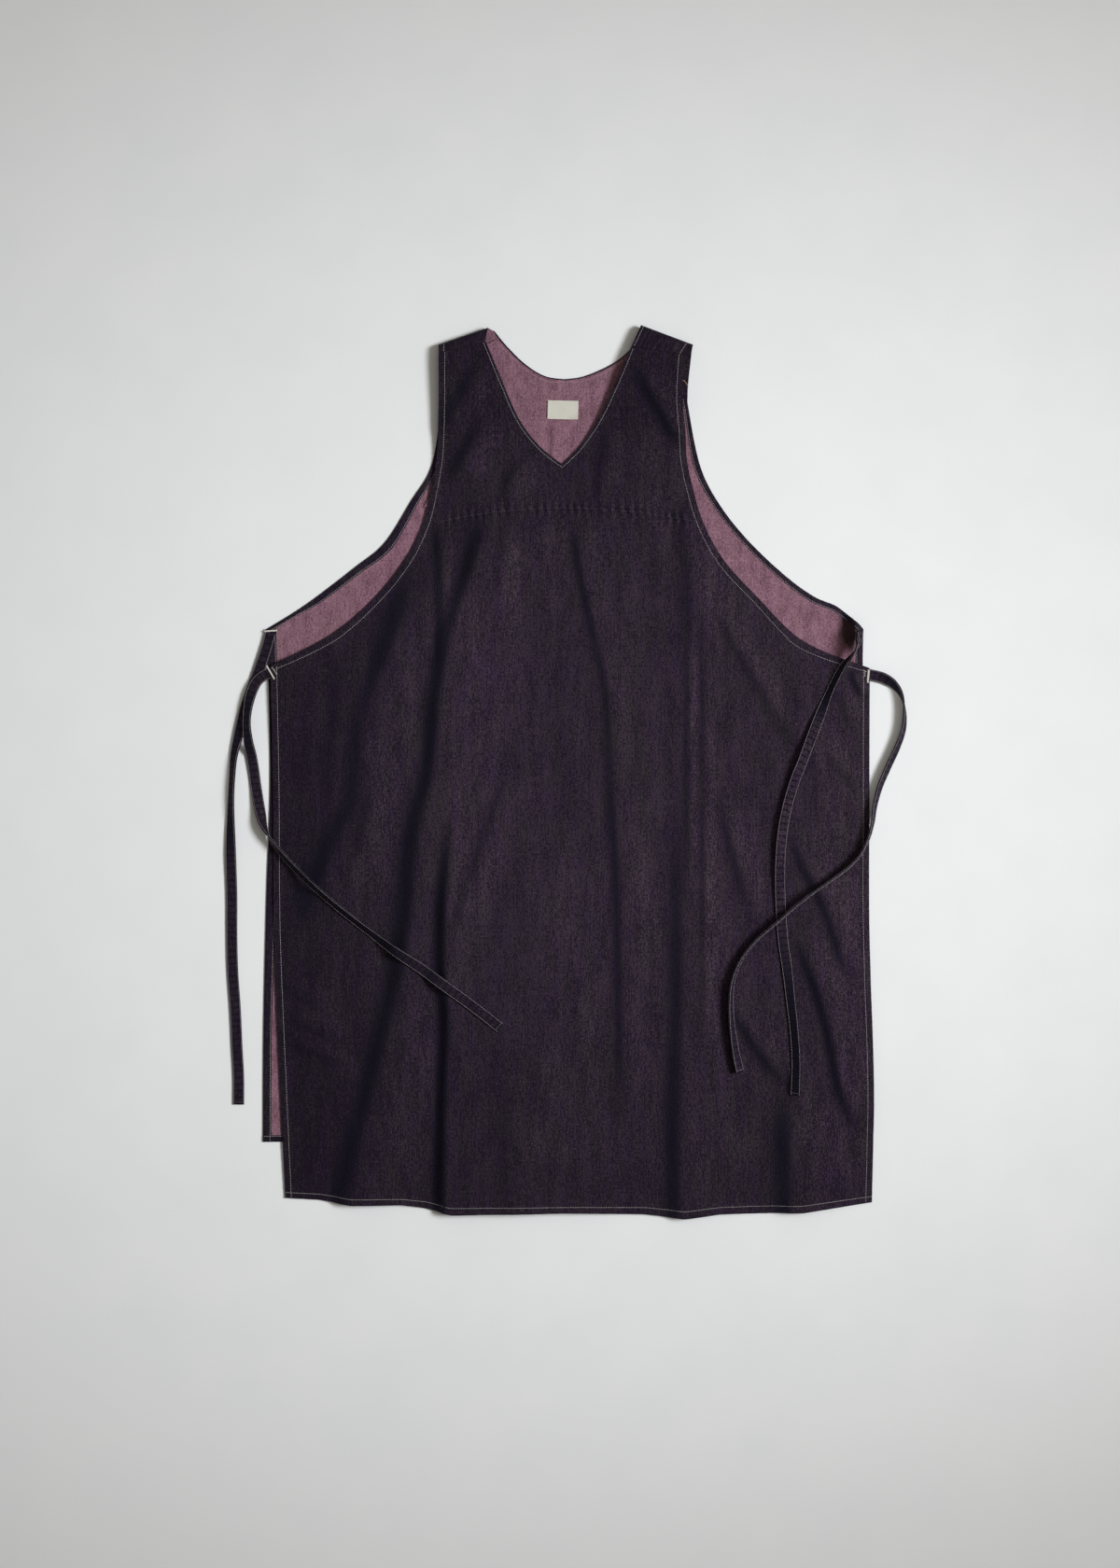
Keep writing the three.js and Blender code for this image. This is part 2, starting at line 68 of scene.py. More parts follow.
# Cloth and sewing
CLOTH = 1.0
HEM_WIDTH = 8.4
HEM_EXTRA = 0.55
GAP = 0.3
HEM_STITCH = 7.2  # from an edge to the line of stitches that holds its hem
NECK_STITCH = 3.2
STITCH_LIFT = 0.12  # of stitches over the face that they are on
STRIP_PITCH = 4.0  # between two rows of points along a hem
SHARP_EDGE = 50.0  # angle in degrees past which an edge stays sharp

# Distances from an edge at which a panel's grid has lines, so that hems and their stitches show in the cloth
EDGE_LINES = (0.0, 0.8, 2.4, 4.4, 6.0, 7.2, 8.4, 10.0, 11.5, 13.5, 17.0)
EDGE_ROOM = 50.0  # sections shorter than this squeeze those lines
# Section of a turned hem: distance from the edge, and how far it stands above or below the hem's thickness
HEM_PROFILE = (
    (0.0, -0.25), (0.5, 0.0), (2.0, 0.05), (3.6, 0.08), (5.2, 0.05),
    (6.4, 0.0), (7.2, -0.12), (7.8, 0.0), (8.1, -0.05), (HEM_WIDTH, -0.35),
)
HEM_LIFTS = {"side": 0.0, "armhole": 0.06, "foot": 0.12}  # so that hems that cross don't share a surface
# Puckers of the hems, inside and outside: height inside, height outside, length, and turn for each mm inwards
HEM_PUCKER = (0.1, 0.16, 9.0, 0.5)

# Sections of the front from the hem to the shoulder seams: left edge, middle, right edge, and above the
# neck's point left edge, the neck's left and right edge, right edge
FRONT_ROWS = (
    ((-333, -502), (-6, -519), (358, -507)),
    ((-339, -366), (-6, -372), (360, -366)),
    ((-346, -190), (-6, -190), (355, -190)),
    ((-347.4, -25), (-6, -25), (355, -25)),
    ((-350, 125), (-6, 140), (355, 122)),
    ((-279, 161), (-6, 206), (277, 154)),
    ((-227.4, 205.4), (-6, 254), (223, 206)),
    ((-192, 249.4), (-6, 294), (183, 250)),
    ((-170.6, 293.6), (-6, 327), (159, 294)),
    ((-160, 338), (-7, 362), (146, 338)),
    ((-155, 368), (-33, 383), (14, 383), (140, 368)),
    ((-153, 397), (-57, 414), (36, 415), (138, 397)),
    ((-152, 440), (-76, 456), (56, 456), (134.8, 440)),
    ((-152, 491.7), (-97, 506.7), (73.9, 498.7), (137.5, 489.7)),
)
# The same for the back, up to where it leaves the surface to turn over the shoulders
BACK_ROWS = (
    ((-359.3, -436), (-6, -435), (350, -435)),
    ((-358.6, -300), (-6, -289), (349, -289)),
    ((-355.2, -146), (-6, -135), (349, -135)),
    ((-351, -3), (-6, 30), (349, 30)),
    ((-354.5, 168.5), (-6, 172), (346.6, 167.8)),
    ((-322.5, 188), (-6, 194), (319, 193.5)),
    ((-295, 207), (-6, 224), (290, 206.5)),
    ((-251, 241), (-6, 283), (255, 232)),
    ((-216, 270), (-6, 321), (211, 274)),
    ((-185, 319), (-6, 360), (178, 316)),
    ((-161, 360), (-6, 409), (156, 360)),
    ((-150, 426), (-4, 462), (142.3, 426)),
    ((-148, 441), (-28, 466), (21, 466), (141, 445)),
    ((-148, 457), (-52, 481), (54, 481), (142, 461)),
    ((-148, 476), (-75, 504), (78, 502), (144, 479)),
    ((-149, 495), (-87, 519.5), (84, 517), (146, 497)),
)
# The same for the facing inside the back neck
FACING_ROWS = (
    ((-170, 312), (-6, 312), (162, 312)),
    ((-147, 360), (-6, 395), (141, 360)),
    ((-140, 426), (-4, 461), (126, 426)),
    ((-139, 441), (-28, 465), (21, 465), (127, 445)),
    ((-138, 457), (-53, 480), (54, 480), (128, 461)),
    ((-138, 474), (-76, 502), (76, 500), (129, 477)),
    ((-138, 484), (-84, 510), (80, 509), (129, 486)),
)
# Each shoulder: where the cloth turns over and where the seam lies, both from the armhole to the neck
SHOULDER_FOLDS = {"LEFT": ((-152, 502), (-94, 522)), "RIGHT": ((147, 502), (86, 525))}
SHOULDER_SEAMS = {"LEFT": ((-152, 492), (-97, 507)), "RIGHT": ((138, 490), (74, 499))}

# Share of the full hem width along the back's sides and armholes: section number, share
SIDE_HEMS = {
    "LEFT": ((0, 1.14), (1.05, 1.16), (1.5, 1.28), (4, 1.28)),
    "RIGHT": ((0, 1.0), (4, 1.0)),
}
ARMHOLE_HEMS = {
    "LEFT": ((4, 0.5), (5, 0.58), (6, 1.0), (7, 1.1), (8, 1.3), (9, 1.0), (10, 0.75), (16, 0.65)),
    "RIGHT": (
        (4, 0.6), (5, 0.78), (6, 0.82), (7, 0.8), (8, 0.75), (9, 0.8), (10, 0.88), (11, 0.55), (11.5, 0.7),
        (12, 1.3), (16, 1.3),
    ),
}
# Height at which the front's edges rest: y, height
EDGE_RESTS = (
    (-495, 1.35), (-415, 2.8), (20, 2.8), (95, 5.2), (140, 5.2), (190, 2.5), (290, 2.5), (335, 4.6),
    (520, 4.6),
)
# How far the front hem hangs below its section: x, dip
HEM_DIPS = (
    (-333, 0), (-293, 0), (-254, 4), (-196, 1), (-169, 3), (-137, 9), (-97, 6),
    (-6, 0), (90, 5), (137, 12), (178, 8), (277, 9), (315, 5), (358, 0),
)

# Folds of the front: crest from head to foot, height, width on the left and on the right side, and the length
# over which its head and its foot fade
FOLDS = (
    (
        (
            (-177, 265), (-187, 195), (-205, 140), (-226, 85), (-236, 30), (-243, -36), (-267, -86),
            (-301, -174), (-314, -212),
        ),
        10.5, 19, 50, 80, 95,
    ),
    (((-257, 150), (-268, 74), (-276, -3), (-284, -60)), 3.0, 11, 22, 60, 60),
    (((-224, -5), (-232, -50), (-243, -95), (-262, -150)), 3.5, 9, 16, 40, 40),
    (
        ((-86, 318), (-105, 250), (-122, 200), (-135, 151), (-146, 96), (-152, 30), (-158, -14), (-169, -60)),
        12.5, 14, 60, 68, 60,
    ),
    (
        (
            (-156, 0), (-169, -58), (-177, -113), (-182, -179), (-191, -234), (-212, -322), (-237, -421),
            (-290, -640),
        ),
        13, 16.5, 58, 60, 20,
    ),
    (((-151, 297), (-147, 228), (-147, 162), (-150, 110)), 4.4, 7, 14, 30, 50),
    (
        ((-128, -20), (-139, -124), (-142, -190), (-141, -245), (-138, -300), (-142, -410), (-145, -640)),
        13.5, 9.5, 110, 150, 20,
    ),
    (((-66, 5), (-86, -58), (-106, -113), (-125, -174), (-134, -215)), 3.0, 9, 22, 50, 60),
    (((-30, -20), (-28, -300), (-20, -640)), 8.5, 70, 100, 160, 20),
    (((9, 302), (16, 250), (27, 195), (40, 140), (51, 74), (56, -25)), 3.9, 7, 26, 40, 80),
    (((52, 60), (56, -25), (61, -100), (64, -190), (65, -260), (66, -330), (67, -430)), 5.0, 8, 45, 120, 110),
    (((139, 330), (145, 261), (148, 206), (148, 110)), 4.8, 13, 30, 30, 110),
    (((138, 60), (137, -135), (137, -245), (135, -355), (133, -432), (137, -640)), 9.5, 14, 55, 330, 20),
    (((262, -180), (290, -240), (305, -289), (315, -333), (324, -377), (345, -430)), 7.5, 6.5, 40, 70, 40),
    (((258, -45), (279, -108), (304, -157), (321, -207), (336, -255)), 5.8, 6.5, 28, 85, 40),
    (((-66, -330), (-66, -480), (-64, -640)), 2.6, 12, 30, 110, 20),
    (((190, -268), (221, -317), (262, -375)), 7, 8, 30, 35, 35),
    (((262, -365), (264, -454), (270, -640)), 11.5, 16, 50, 70, 20),
    (((-76, 525), (-98, 481), (-122, 437), (-146, 392)), 6.5, 13, 22, 30, 30),
    (((-90, 428), (-112, 382), (-140, 330)), 5.5, 11, 20, 35, 35),
    (((-30, 390), (-60, 349), (-85, 300)), 3.0, 10, 20, 30, 40),
    (((70, 505), (94, 459), (114, 424), (140, 376)), 8, 10, 22, 30, 30),
    (((56, 425), (46, 371), (37, 312)), 2.6, 9, 18, 40, 40),
)
# Small straight creases of the front: one end, other end, height, width on the left and the right of the way
CREASES = (
    ((143, 170), (143, -150), 2.6, 9, 4.5),
    ((161, 190), (161, -330), 2.6, 9, 4.5),
    ((-72, 290), (-80, 200), 1.8, 14, 7),
    ((181, -36), (216, -165), 3.6, 14, 6.5),
    ((-335, -252), (-285, -272), 4.0, 9, 5),
    ((-331, -286), (-268, -311), 4.5, 9, 5),
    ((-331, -314), (-262, -342), 4.5, 9, 5),
    ((300, 30), (345, -20), 3.0, 10, 6),
    ((318, 95), (338, 52), 2.0, 9, 5),
    ((334, 119), (348, 90), 4.6, 7, 4),
    ((262, 62), (300, -5), 2.4, 9, 6),
    ((170, 200), (275, 20), 2.9, 12, 7),
)

# Routes of the ties from their sewn ends: x, y, turn about the length in degrees, and where they don't rest
# on what lies below, their rise over it
TIE_ROUTES = {
    "tie_back_left": (
        (-349.5, 167, 0), (-353.5, 151, 0), (-359.5, 132, 0), (-371, 101, 0), (-380.5, 73, 5),
        (-388, 42, 25), (-393, 19, 48), (-395, -5, 58), (-396.5, -36, 56), (-397, -69, 35),
        (-397, -102, 8), (-396, -146, 0), (-396, -190, 0), (-395, -234, 0),
        (-392, -278, 0), (-390, -322, 0), (-388, -361, 0), (-388, -392, 0),
    ),
    "tie_front_left": (
        (-350.4, 116, 0, 1), (-357, 114, 0, 1), (-365, 108, 0, 1), (-371, 97, 5), (-375, 82, 25),
        (-377, 65, 44), (-377, 50, 42), (-375, 32, 20), (-371, 8, 2), (-367, -21, 0),
        (-362, -48, -20), (-357, -66, -66), (-348, -82, -109), (-336, -97, -120),
        (-322, -112, -123), (-305, -128, -124), (-285, -146, -124), (-261, -166, -126),
        (-233, -188, -131), (-205, -208.5, -147, 0.5), (-175, -228.5, -174), (-143.5, -251, -180),
        (-113.5, -273, -180), (-79, -300, -180),
    ),
    "tie_back_right": (
        (341, 167, -50), (342, 156, -60), (339, 146, -72), (333, 136, -104), (324, 125, -126),
        (313, 105, -128), (304, 85, -130), (295, 63, -172, 1), (285, 38, -190, 2), (276, 14, -194, 2.5),
        (267, -9, -194, 2.5), (259, -35, -194, 2.5), (253, -63, -194, 2.5), (250, -90, -194, 2),
        (249, -120, -190, 1), (250, -158, -182), (253, -198, -172), (258, -233, -160),
        (262, -268, -147), (266, -305, -140), (268, -340, -140), (267, -380, -144),
    ),
    "tie_front_right": (
        (355.4, 114.5, 0, 1), (362, 113, 0, 1), (372, 110, 15, 1), (383, 103, 45), (392, 91, 80),
        (396, 74, 105), (395, 51, 118), (388, 30, 124), (377, 6, 126), (367, -18, 122),
        (361, -40, 116), (358, -60, 110), (353, -79, 104), (344, -97, 100), (331, -111, 98),
        (312, -125, 98), (292, -139, 98), (272, -154, 98, 0.8), (245, -177, 98, 0.8),
        (219, -200, 100), (202, -223, 104), (193, -248, 108), (191, -275, 114),
        (193, -304, 122), (197, -331, 134), (202, -353, 142),
    ),
}
# Bar tacks where the ties are sewn to the front and to the back: x, y, angle, length, width
FRONT_TACKS = (
    (-350.0, 117.0, 120.0, 18.0), (-345.5, 119.0, 125.0, 11.0), (349.3, 115.8, 90.0, 8.5),
    (353.3, 112.4, 84.0, 15.5, 3.2),
)
BACK_TACKS = ((-349.8, 166.0, 4.0, 15.0, 2.4), (341.0, 164.0, 150.0, 8.0))
TIE_TUCKS = {"tie_front_left": 9.0, "tie_front_right": 9.0}  # how far their sewn ends go in under the front
TIE_SETTLES = {"tie_front_left": 2}  # steps over which a tie with a sharp twist evens out what it lies on


class Side(Enum):
    """The picture's left and right half of a panel."""

    LEFT = "LEFT"
    RIGHT = "RIGHT"


class Face(Enum):
    """Which face of the cloth looks up."""

    OUTER = 1
    INNER = -1


def smoothstep(value: Array, low: float, high: float) -> Array:
    """Rises from 0 at low to 1 at high along the cubic 3t^2 - 2t^3.

    Args:
        value: where to read the step.
        low: start of the rise.
        high: end of the rise.

    Returns:
        The step at each value.
    """
    t = np.clip((value - low) / (high - low), 0.0, 1.0)
    return t * t * (3.0 - 2.0 * t)


def mix(a: Array, b: Array, share: Array) -> Array:
    """The way from a to b by a share."""
    return a + (b - a) * share


def unit(vectors: Array) -> Array:
    """Vectors with length 1."""
    return vectors / np.linalg.norm(vectors, axis=-1, keepdims=True)


def cubic(p1: Array, p2: Array, v1: Array, v2: Array, f: Array) -> Array:
    """The cubic from p1 to p2 with the tangents v1 and v2 there, at a share f of the way."""
    return p1 + v1 * f + (3 * (p2 - p1) - 2 * v1 - v2) * f**2 + (2 * (p1 - p2) + v1 + v2) * f**3


def spline(points: Array, t: Array) -> Array:
    """A smooth curve: cubics whose tangent at each point is half the way between its neighbours.

    Args:
        points: what the curve passes through.
        t: places on it, counted in points.

    Returns:
        A point for each place.
    """
    last = len(points) - 1
    i = np.clip(np.floor(t).astype(int), 0, last - 1)
    f = (t - i)[..., None]
    p0, p1 = points[np.maximum(i - 1, 0)], points[i]
    p2, p3 = points[i + 1], points[np.minimum(i + 2, last)]
    return cubic(p1, p2, (p2 - p0) / 2, (p3 - p1) / 2, f)


def cornered(points: Array, corner: int, t: Array) -> Array:
    """Two splines that meet at one of the points with a corner.

    Args:
        points: what the curve passes through.
        corner: which of them is the corner.
        t: places on it, counted in points.

    Returns:
        A point for each place.
    """
    after = spline(points[corner:], np.maximum(t - corner, 0))
    if corner == 0:
        return after
    before = spline(points[: corner + 1], np.minimum(t, corner))
    return np.where((t < corner)[..., None], before, after)


def route_curve(points: Array, t: Array) -> Array:
    """A smooth curve for unevenly spaced points: the centripetal spline, with its ends carried straight on.

    Args:
        points: what the curve passes through.
        t: places on it, counted in points.

    Returns:
        A point for each place.
    """
    p = np.vstack([2 * points[0] - points[1], points, 2 * points[-1] - points[-2]])
    i = np.clip(np.floor(t).astype(int), 0, len(points) - 2)
    f = (t - i)[..., None]
    p0, p1, p2, p3 = p[i], p[i + 1], p[i + 2], p[i + 3]
    spans = (p1 - p0, p2 - p1, p3 - p2)
    d0, d1, d2 = (np.sqrt(np.linalg.norm(span, axis=-1, keepdims=True)) for span in spans)
    v1 = d1 * ((p1 - p0) / d0 - (p2 - p0) / (d0 + d1) + (p2 - p1) / d1)
    v2 = d1 * ((p2 - p1) / d1 - (p3 - p1) / (d1 + d2) + (p3 - p2) / d2)
    return cubic(p1, p2, v1, v2, f)


def way_along(line: Array) -> Array:
    """The length of a line up to each of its points."""
    steps = np.linalg.norm(np.diff(line, axis=0), axis=1)
    return np.concatenate([[0.0], np.cumsum(steps)])


def read_line(line: Array, at: Array) -> Array:
    """Reads a line, and whatever else its rows hold, at lengths along it.

    Args:
        line: rows whose first three columns are points.
        at: lengths along the line.

    Returns:
        A row for each length, straight between the line's own rows.
    """
    way = way_along(line[:, :3])
    return np.stack([np.interp(at, way, column) for column in line.T], axis=-1)


def even_line(line: Array, pitch: float) -> Array:
    """Reads a line at even steps of about a pitch."""
    way = way_along(line[:, :3])
    return read_line(line, np.linspace(0, way[-1], max(round(way[-1] / pitch), 1) + 1))


def smooth_distance(edge: Array, x: Array, y: Array) -> Array:
    """Distance to an outline without creases where two of its sides are equally near.

    The sixth powers of 1/distance are summed along the outline, and the fifth root of that sum, scaled so
    that a straight edge gives the true distance, is turned over. Parts of the places at a time spare memory.

    Args:
        edge: points along the outline at even steps.
        x: places, across.
        y: places, up.

    Returns:
        The distance at each place.
    """
    part_size, least_square = 2000, 0.04
    step = np.linalg.norm(edge[1] - edge[0])
    found = np.empty(x.size)
    for part in np.array_split(np.arange(x.size), max(x.size // part_size, 1)):
        dx = x.ravel()[part, None] - edge[None, :, 0]
        dy = y.ravel()[part, None] - edge[None, :, 1]
        found[part] = ((dx * dx + dy * dy + least_square) ** -3).sum(axis=1)
    return ((3 * math.pi / 8 / step) / found.reshape(x.shape)) ** 0.2


def contains(polygon: Array, x: Array, y: Array) -> Array:
    """Whether places lie in a polygon: a ray to the right crosses its sides an odd number of times.

    Args:
        polygon: its corners in order.
        x: places, across.
        y: places, up.

    Returns:
        True for each place inside.
    """
    x0, y0 = polygon.T
    x1, y1 = np.roll(polygon, -1, axis=0).T
    rise = np.where(y1 == y0, 1.0, y1 - y0)
    level = y[..., None]
    crosses = (y0 > level) != (y1 > level)
    return (crosses & (x[..., None] < x0 + (level - y0) / rise * (x1 - x0))).sum(axis=-1) % 2 == 1


def grid_quads(index: Array) -> Array:
    """Quads of a grid of point numbers, turning from its columns to its rows."""
    corners = (index[:-1, :-1], index[:-1, 1:], index[1:, 1:], index[1:, :-1])
    return np.stack([c.ravel() for c in corners], axis=1)


@dataclass
class Shape:
    """Points, faces and the finish and weave place of each, gathered for one mesh."""

    points: Array
    faces: list
    kinds: list
    weave: Array

    @staticmethod
    def joined(shapes: list) -> "Shape":
        """Puts several shapes into one.

        Args:
            shapes: what to join.

        Returns:
            One shape with all their points and faces.
        """
        starts = np.cumsum([0] + [len(s.points) for s in shapes])
        faces = [f + start for s, start in zip(shapes, starts) for f in s.faces]
        kinds = [k for s in shapes for k in s.kinds]
        points, weave = (np.vstack([getattr(s, name) for s in shapes]) for name in ("points", "weave"))
        return Shape(points, faces, kinds, weave)


def cloth_wall(points: Array, quads: Array, weave: Array, up: object, down: object) -> Shape:
    """A closed wall about a surface: its points moved up and down their normals, and a rim on each free edge.

    Args:
        points: the surface.
        quads: its faces, seen from the side of the normals.
        weave: place of each point on the flat cloth.
        up: thickness on the side of the normals.
        down: thickness on the other side.

    Returns:
        The wall; finish 0 on the upper face and the rim, 1 on the lower face.
    """
    a, b, c, d = (points[quads[:, k]] for k in range(4))
    turned = np.cross(c - a, d - b)
    normals = np.zeros_like(points)
    for k in range(4):
        np.add.at(normals, quads[:, k], turned)
    normals = unit(normals)
    count = len(points)
    edges = np.concatenate([quads[:, [k, (k + 1) % 4]] for k in range(4)])
    keys, back = edges[:, 0] * count + edges[:, 1], edges[:, 1] * count + edges[:, 0]
    start, end = edges[~np.isin(back, keys)].T
    rim = np.stack([start, start + count, end + count, end], axis=1)
    up, down = (np.broadcast_to(np.asarray(t, float), count)[:, None] for t in (up, down))
    kinds = [np.zeros(len(quads), int), np.ones(len(quads), int), np.zeros(len(rim), int)]
    walls = np.vstack([points + normals * up, points - normals * down])
    return Shape(walls, [quads, quads[:, ::-1] + count, rim], kinds, np.vstack([weave, weave]))


def mesh_object(name: str, shape: Shape, materials: list) -> Piece:
    """Makes a smooth mesh object at the origin, in metres, with its weave map and its lean to the right.

    Args:
        name: the object's name.
        shape: points and faces in millimetres.
        materials: one for each finish number.

    Returns:
        The object, linked into the scene.
    """
    mesh = bpy.data.meshes.new(name)
    loops = np.concatenate([f.ravel() for f in shape.faces]).astype(np.int32)
    sizes = np.concatenate([np.full(len(f), f.shape[1]) for f in shape.faces])
    mesh.vertices.add(len(shape.points))
    mesh.vertices.foreach_set("co", (shape.points * MM).astype(np.float32).ravel())
    mesh.loops.add(len(loops))
    mesh.loops.foreach_set("vertex_index", loops)
    mesh.polygons.add(len(sizes))
    mesh.polygons.foreach_set("loop_start", (np.cumsum(sizes) - sizes).astype(np.int32))
    mesh.polygons.foreach_set("material_index", np.concatenate(shape.kinds).astype(np.int32))
    mesh.polygons.foreach_set("use_smooth", np.ones(len(sizes), bool))
    weave = mesh.uv_layers.new(name=WEAVE_MAP)
    weave.data.foreach_set("uv", (shape.weave[loops] * MM).astype(np.float32).ravel())
    mesh.update(calc_edges=True)
    mesh.validate()
    # Keeps each point's normal x as its lean, which the cloth finishes read to paint shade
    normals = np.empty(3 * len(shape.points), np.float32)
    mesh.vertex_normals.foreach_get("vector", normals)
    lean = mesh.attributes.new(LEAN_MAP, "FLOAT", "POINT")
    lean.data.foreach_set("value", normals[::3].copy())
    mesh.set_sharp_from_angle(angle=math.radians(SHARP_EDGE))
    for material in materials:
        mesh.materials.append(material)
    piece = bpy.data.objects.new(name, mesh)
    bpy.context.scene.collection.objects.link(piece)
    return piece


def placed(name: str, shape: Shape, materials: list, slot: str, *nodes: str) -> Piece:
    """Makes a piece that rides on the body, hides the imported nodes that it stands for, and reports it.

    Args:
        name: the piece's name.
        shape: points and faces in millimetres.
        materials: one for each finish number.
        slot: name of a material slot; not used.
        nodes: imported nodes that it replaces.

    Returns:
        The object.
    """
    piece = mesh_object(name, shape, materials)
    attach(piece, BODY)
    if nodes:
        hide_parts(*nodes)
    log.info("%s: %d faces", piece.name, len(piece.data.polygons))
    return piece


def linear(code: str) -> tuple:
    """Turns an sRGB hex colour into linear values.

    Args:
        code: six hex digits after a hash.

    Returns:
        Red, green, blue and a full alpha.
    """
    parts = [int(code[k : k + 2], 16) / 255 for k in (1, 3, 5)]
    return tuple(p / 12.92 if p <= 0.04045 else ((p + 0.055) / 1.055) ** 2.4 for p in parts) + (1.0,)


def wave_scale(pitch_mm: float) -> float:
    """Scale at which a wave texture has its bands a pitch apart: at 1 it draws 20 / tau bands to a metre."""
    return 1000 / pitch_mm / 20 * math.tau


def add_node(
    tree: Tree, kind: str, inputs: dict, output: object = 0, **settings: object
) -> Socket | None:
    """Adds a node with its settings; a socket given as an input is linked, any other value is set.

    Args:
        tree: where the node goes.
        kind: the node's type.
        inputs: socket names or numbers and what they get.
        output: name or number of the socket to hand back.
        settings: the node's own properties.

    Returns:
        That socket, or nothing for a node without outputs.
    """
    node = tree.nodes.new(kind)
    for key, value in settings.items():
        setattr(node, key, value)
    for key, value in inputs.items():
        if isinstance(value, Socket):
            tree.links.new(value, node.inputs[key])
        else:
            node.inputs[key].default_value = value
    return node.outputs[output] if len(node.outputs) else None


@dataclass(frozen=True)
class Finish:
    """A finish: a named node material around one shader."""

    name: str

    def surface(self, tree: Tree) -> dict:
        """What the shader's inputs get; each finish has its own."""
        raise NotImplementedError

    def build(self) -> bpy.types.Material:
        """Makes the material.

        Returns:
            The material with all its nodes.
        """
        material = bpy.data.materials.new(self.name)
        material.use_nodes = True
        tree = material.node_tree
        tree.nodes.clear()
        shader = add_node(tree, "ShaderNodeBsdfPrincipled", self.surface(tree))
        add_node(tree, "ShaderNodeOutputMaterial", {0: shader})
        return material


@dataclass(frozen=True)
class WovenCloth(Finish):
    """Cotton twill of uneven yarns: thin streaks along the warp, greyer patches, flecks and a diagonal rib.

    To the eye it is matt, streaked up and down with no highlight beyond a faint bloom of loose fibre. It is
    shot: where a streak is light the weft shows through. On slopes that lean to the left, away from the key
    light, colour and gleam tint are blended towards a darker tone: painted shade.
    """

    deep: str  # yarns that cover the weft
    pale: str  # places where the weft shows
    dull_deep: str  # the same two in patches of duller yarn
    dull_pale: str
    painted_shade: str  # painted shade: the colour that slopes leaning left, away from the key light, are blended towards
    gleam: float  # specular level
    gleam_tints: tuple  # colour of the gleam: of the weft, of duller yarn, and the painted shade tint of left-leaning slopes; or one for all
    rough: tuple  # roughness of deep and of pale places
    contrast: float = 1.0
    dulling: float = 0.28  # how far the duller patches differ
    weights: tuple = (0.64, 0.2, 0.3, 0.88, 0.24)  # of streaks, stripes, slubs, flecks and patches
    seeds: tuple = (5.3, 21.3, 13.7, 9.9, 31.1)  # of the same
    dull_seeds: tuple = (17.7, 3.1)  # of the duller patches and of their drift
    patch_mm: tuple = (16.0, 50.0)  # where the loom beat harder or softer
    deepening: tuple = ()  # where the cloth is made darker: axis, start and end in mm, and how far
    painted_shade_share: float = 0.56  # how far the steepest slopes take the painted shade
    painted_shade_lean: tuple = (-0.06, -0.5)  # lean to the right at which that starts and at which it is full
    ladder_mm: float = 0.0  # between two dark bands across a narrow band: painted shade of the ridges that its seam allowance makes inside
    ladder_top: float = 0.68  # part of the wave above which that painted shade falls
    # how much darker that painted shade is
    ladder_depth: float = 0.85
    streak_mm: tuple = (1.4, 7.0)  # about two yarns wide, drawn twice as coarse as they are
    slub_mm: tuple = (2.2, 28.0)  # thick stretches of a yarn
    stripe_mm: tuple = (11.0, 90.0)
    dull_mm: tuple = (13.0, 40.0)
    drift_mm: tuple = (60.0, 240.0)
    fleck_mm: tuple = (1.9, 2.4)  # four times the real crossing of yarns, which is too fine to show
    rib_mm: float = 2.2  # drawn about three times as coarse as the twill itself
    rib_height_mm: float = 0.12
    rib_strength: float = 0.6
    rib_angle: float = 32.0
    ior: float = 1.46
    middle: tuple = (0.3, 0.7)  # between which most of a noise lies

    def lumps(
        self, tree: Tree, size: tuple, seed: float, low: float, high: float, detail: float = 2.0
    ) -> Socket:
        """Noise over the weave map, its middle stretched between two values.

        Args:
            tree: where the nodes go.
            size: of a lump in millimetres, across and along the warp.
            seed: moves the pattern.
            low: value in dark lumps.
            high: value in light lumps.
            detail: finer layers.

        Returns:
            The value.
        """
        weave = add_node(tree, "ShaderNodeUVMap", {}, uv_map=WEAVE_MAP)
        scale = (1000 / size[0], 1000 / size[1], 1)
        spot = add_node(tree, "ShaderNodeMapping", {0: weave, 1: (seed, 2 * seed, 0), 3: scale})
        inputs = {"Vector": spot, "Scale": 1.0, "Detail": detail, "Roughness": 0.6}
        noise = add_node(tree, "ShaderNodeTexNoise", inputs, noise_dimensions="2D")
        inputs = {0: noise, 1: self.middle[0], 2: self.middle[1], 3: low, 4: high}
        return add_node(tree, "ShaderNodeMapRange", inputs, clamp=False)

    def paleness(self, tree: Tree, weave: Socket) -> Socket:
        """How much of the weft shows: half, plus streaks, stripes, slubs, flecks and patches, less darkening
        by place and a ladder's painted shade.

        Args:
            tree: where the nodes go.
            weave: the weave map.

        Returns:
            The share, mostly between 0 and 1.
        """
        sizes = (self.streak_mm, self.stripe_mm, self.slub_mm, self.fleck_mm, self.patch_mm)
        parts = []
        for weight, size, seed in zip(self.weights, sizes, self.seeds):
            swing = 0.5 * self.contrast * weight
            parts.append(self.lumps(tree, size, seed, -swing, swing))
        for axis, start, end, depth in self.deepening:
            place = add_node(tree, "ShaderNodeSeparateXYZ", {0: weave}, axis)
            inputs = {0: place, 1: start * MM, 2: end * MM, 4: -depth}
            parts.append(add_node(tree, "ShaderNodeMapRange", inputs, interpolation_type="SMOOTHSTEP"))
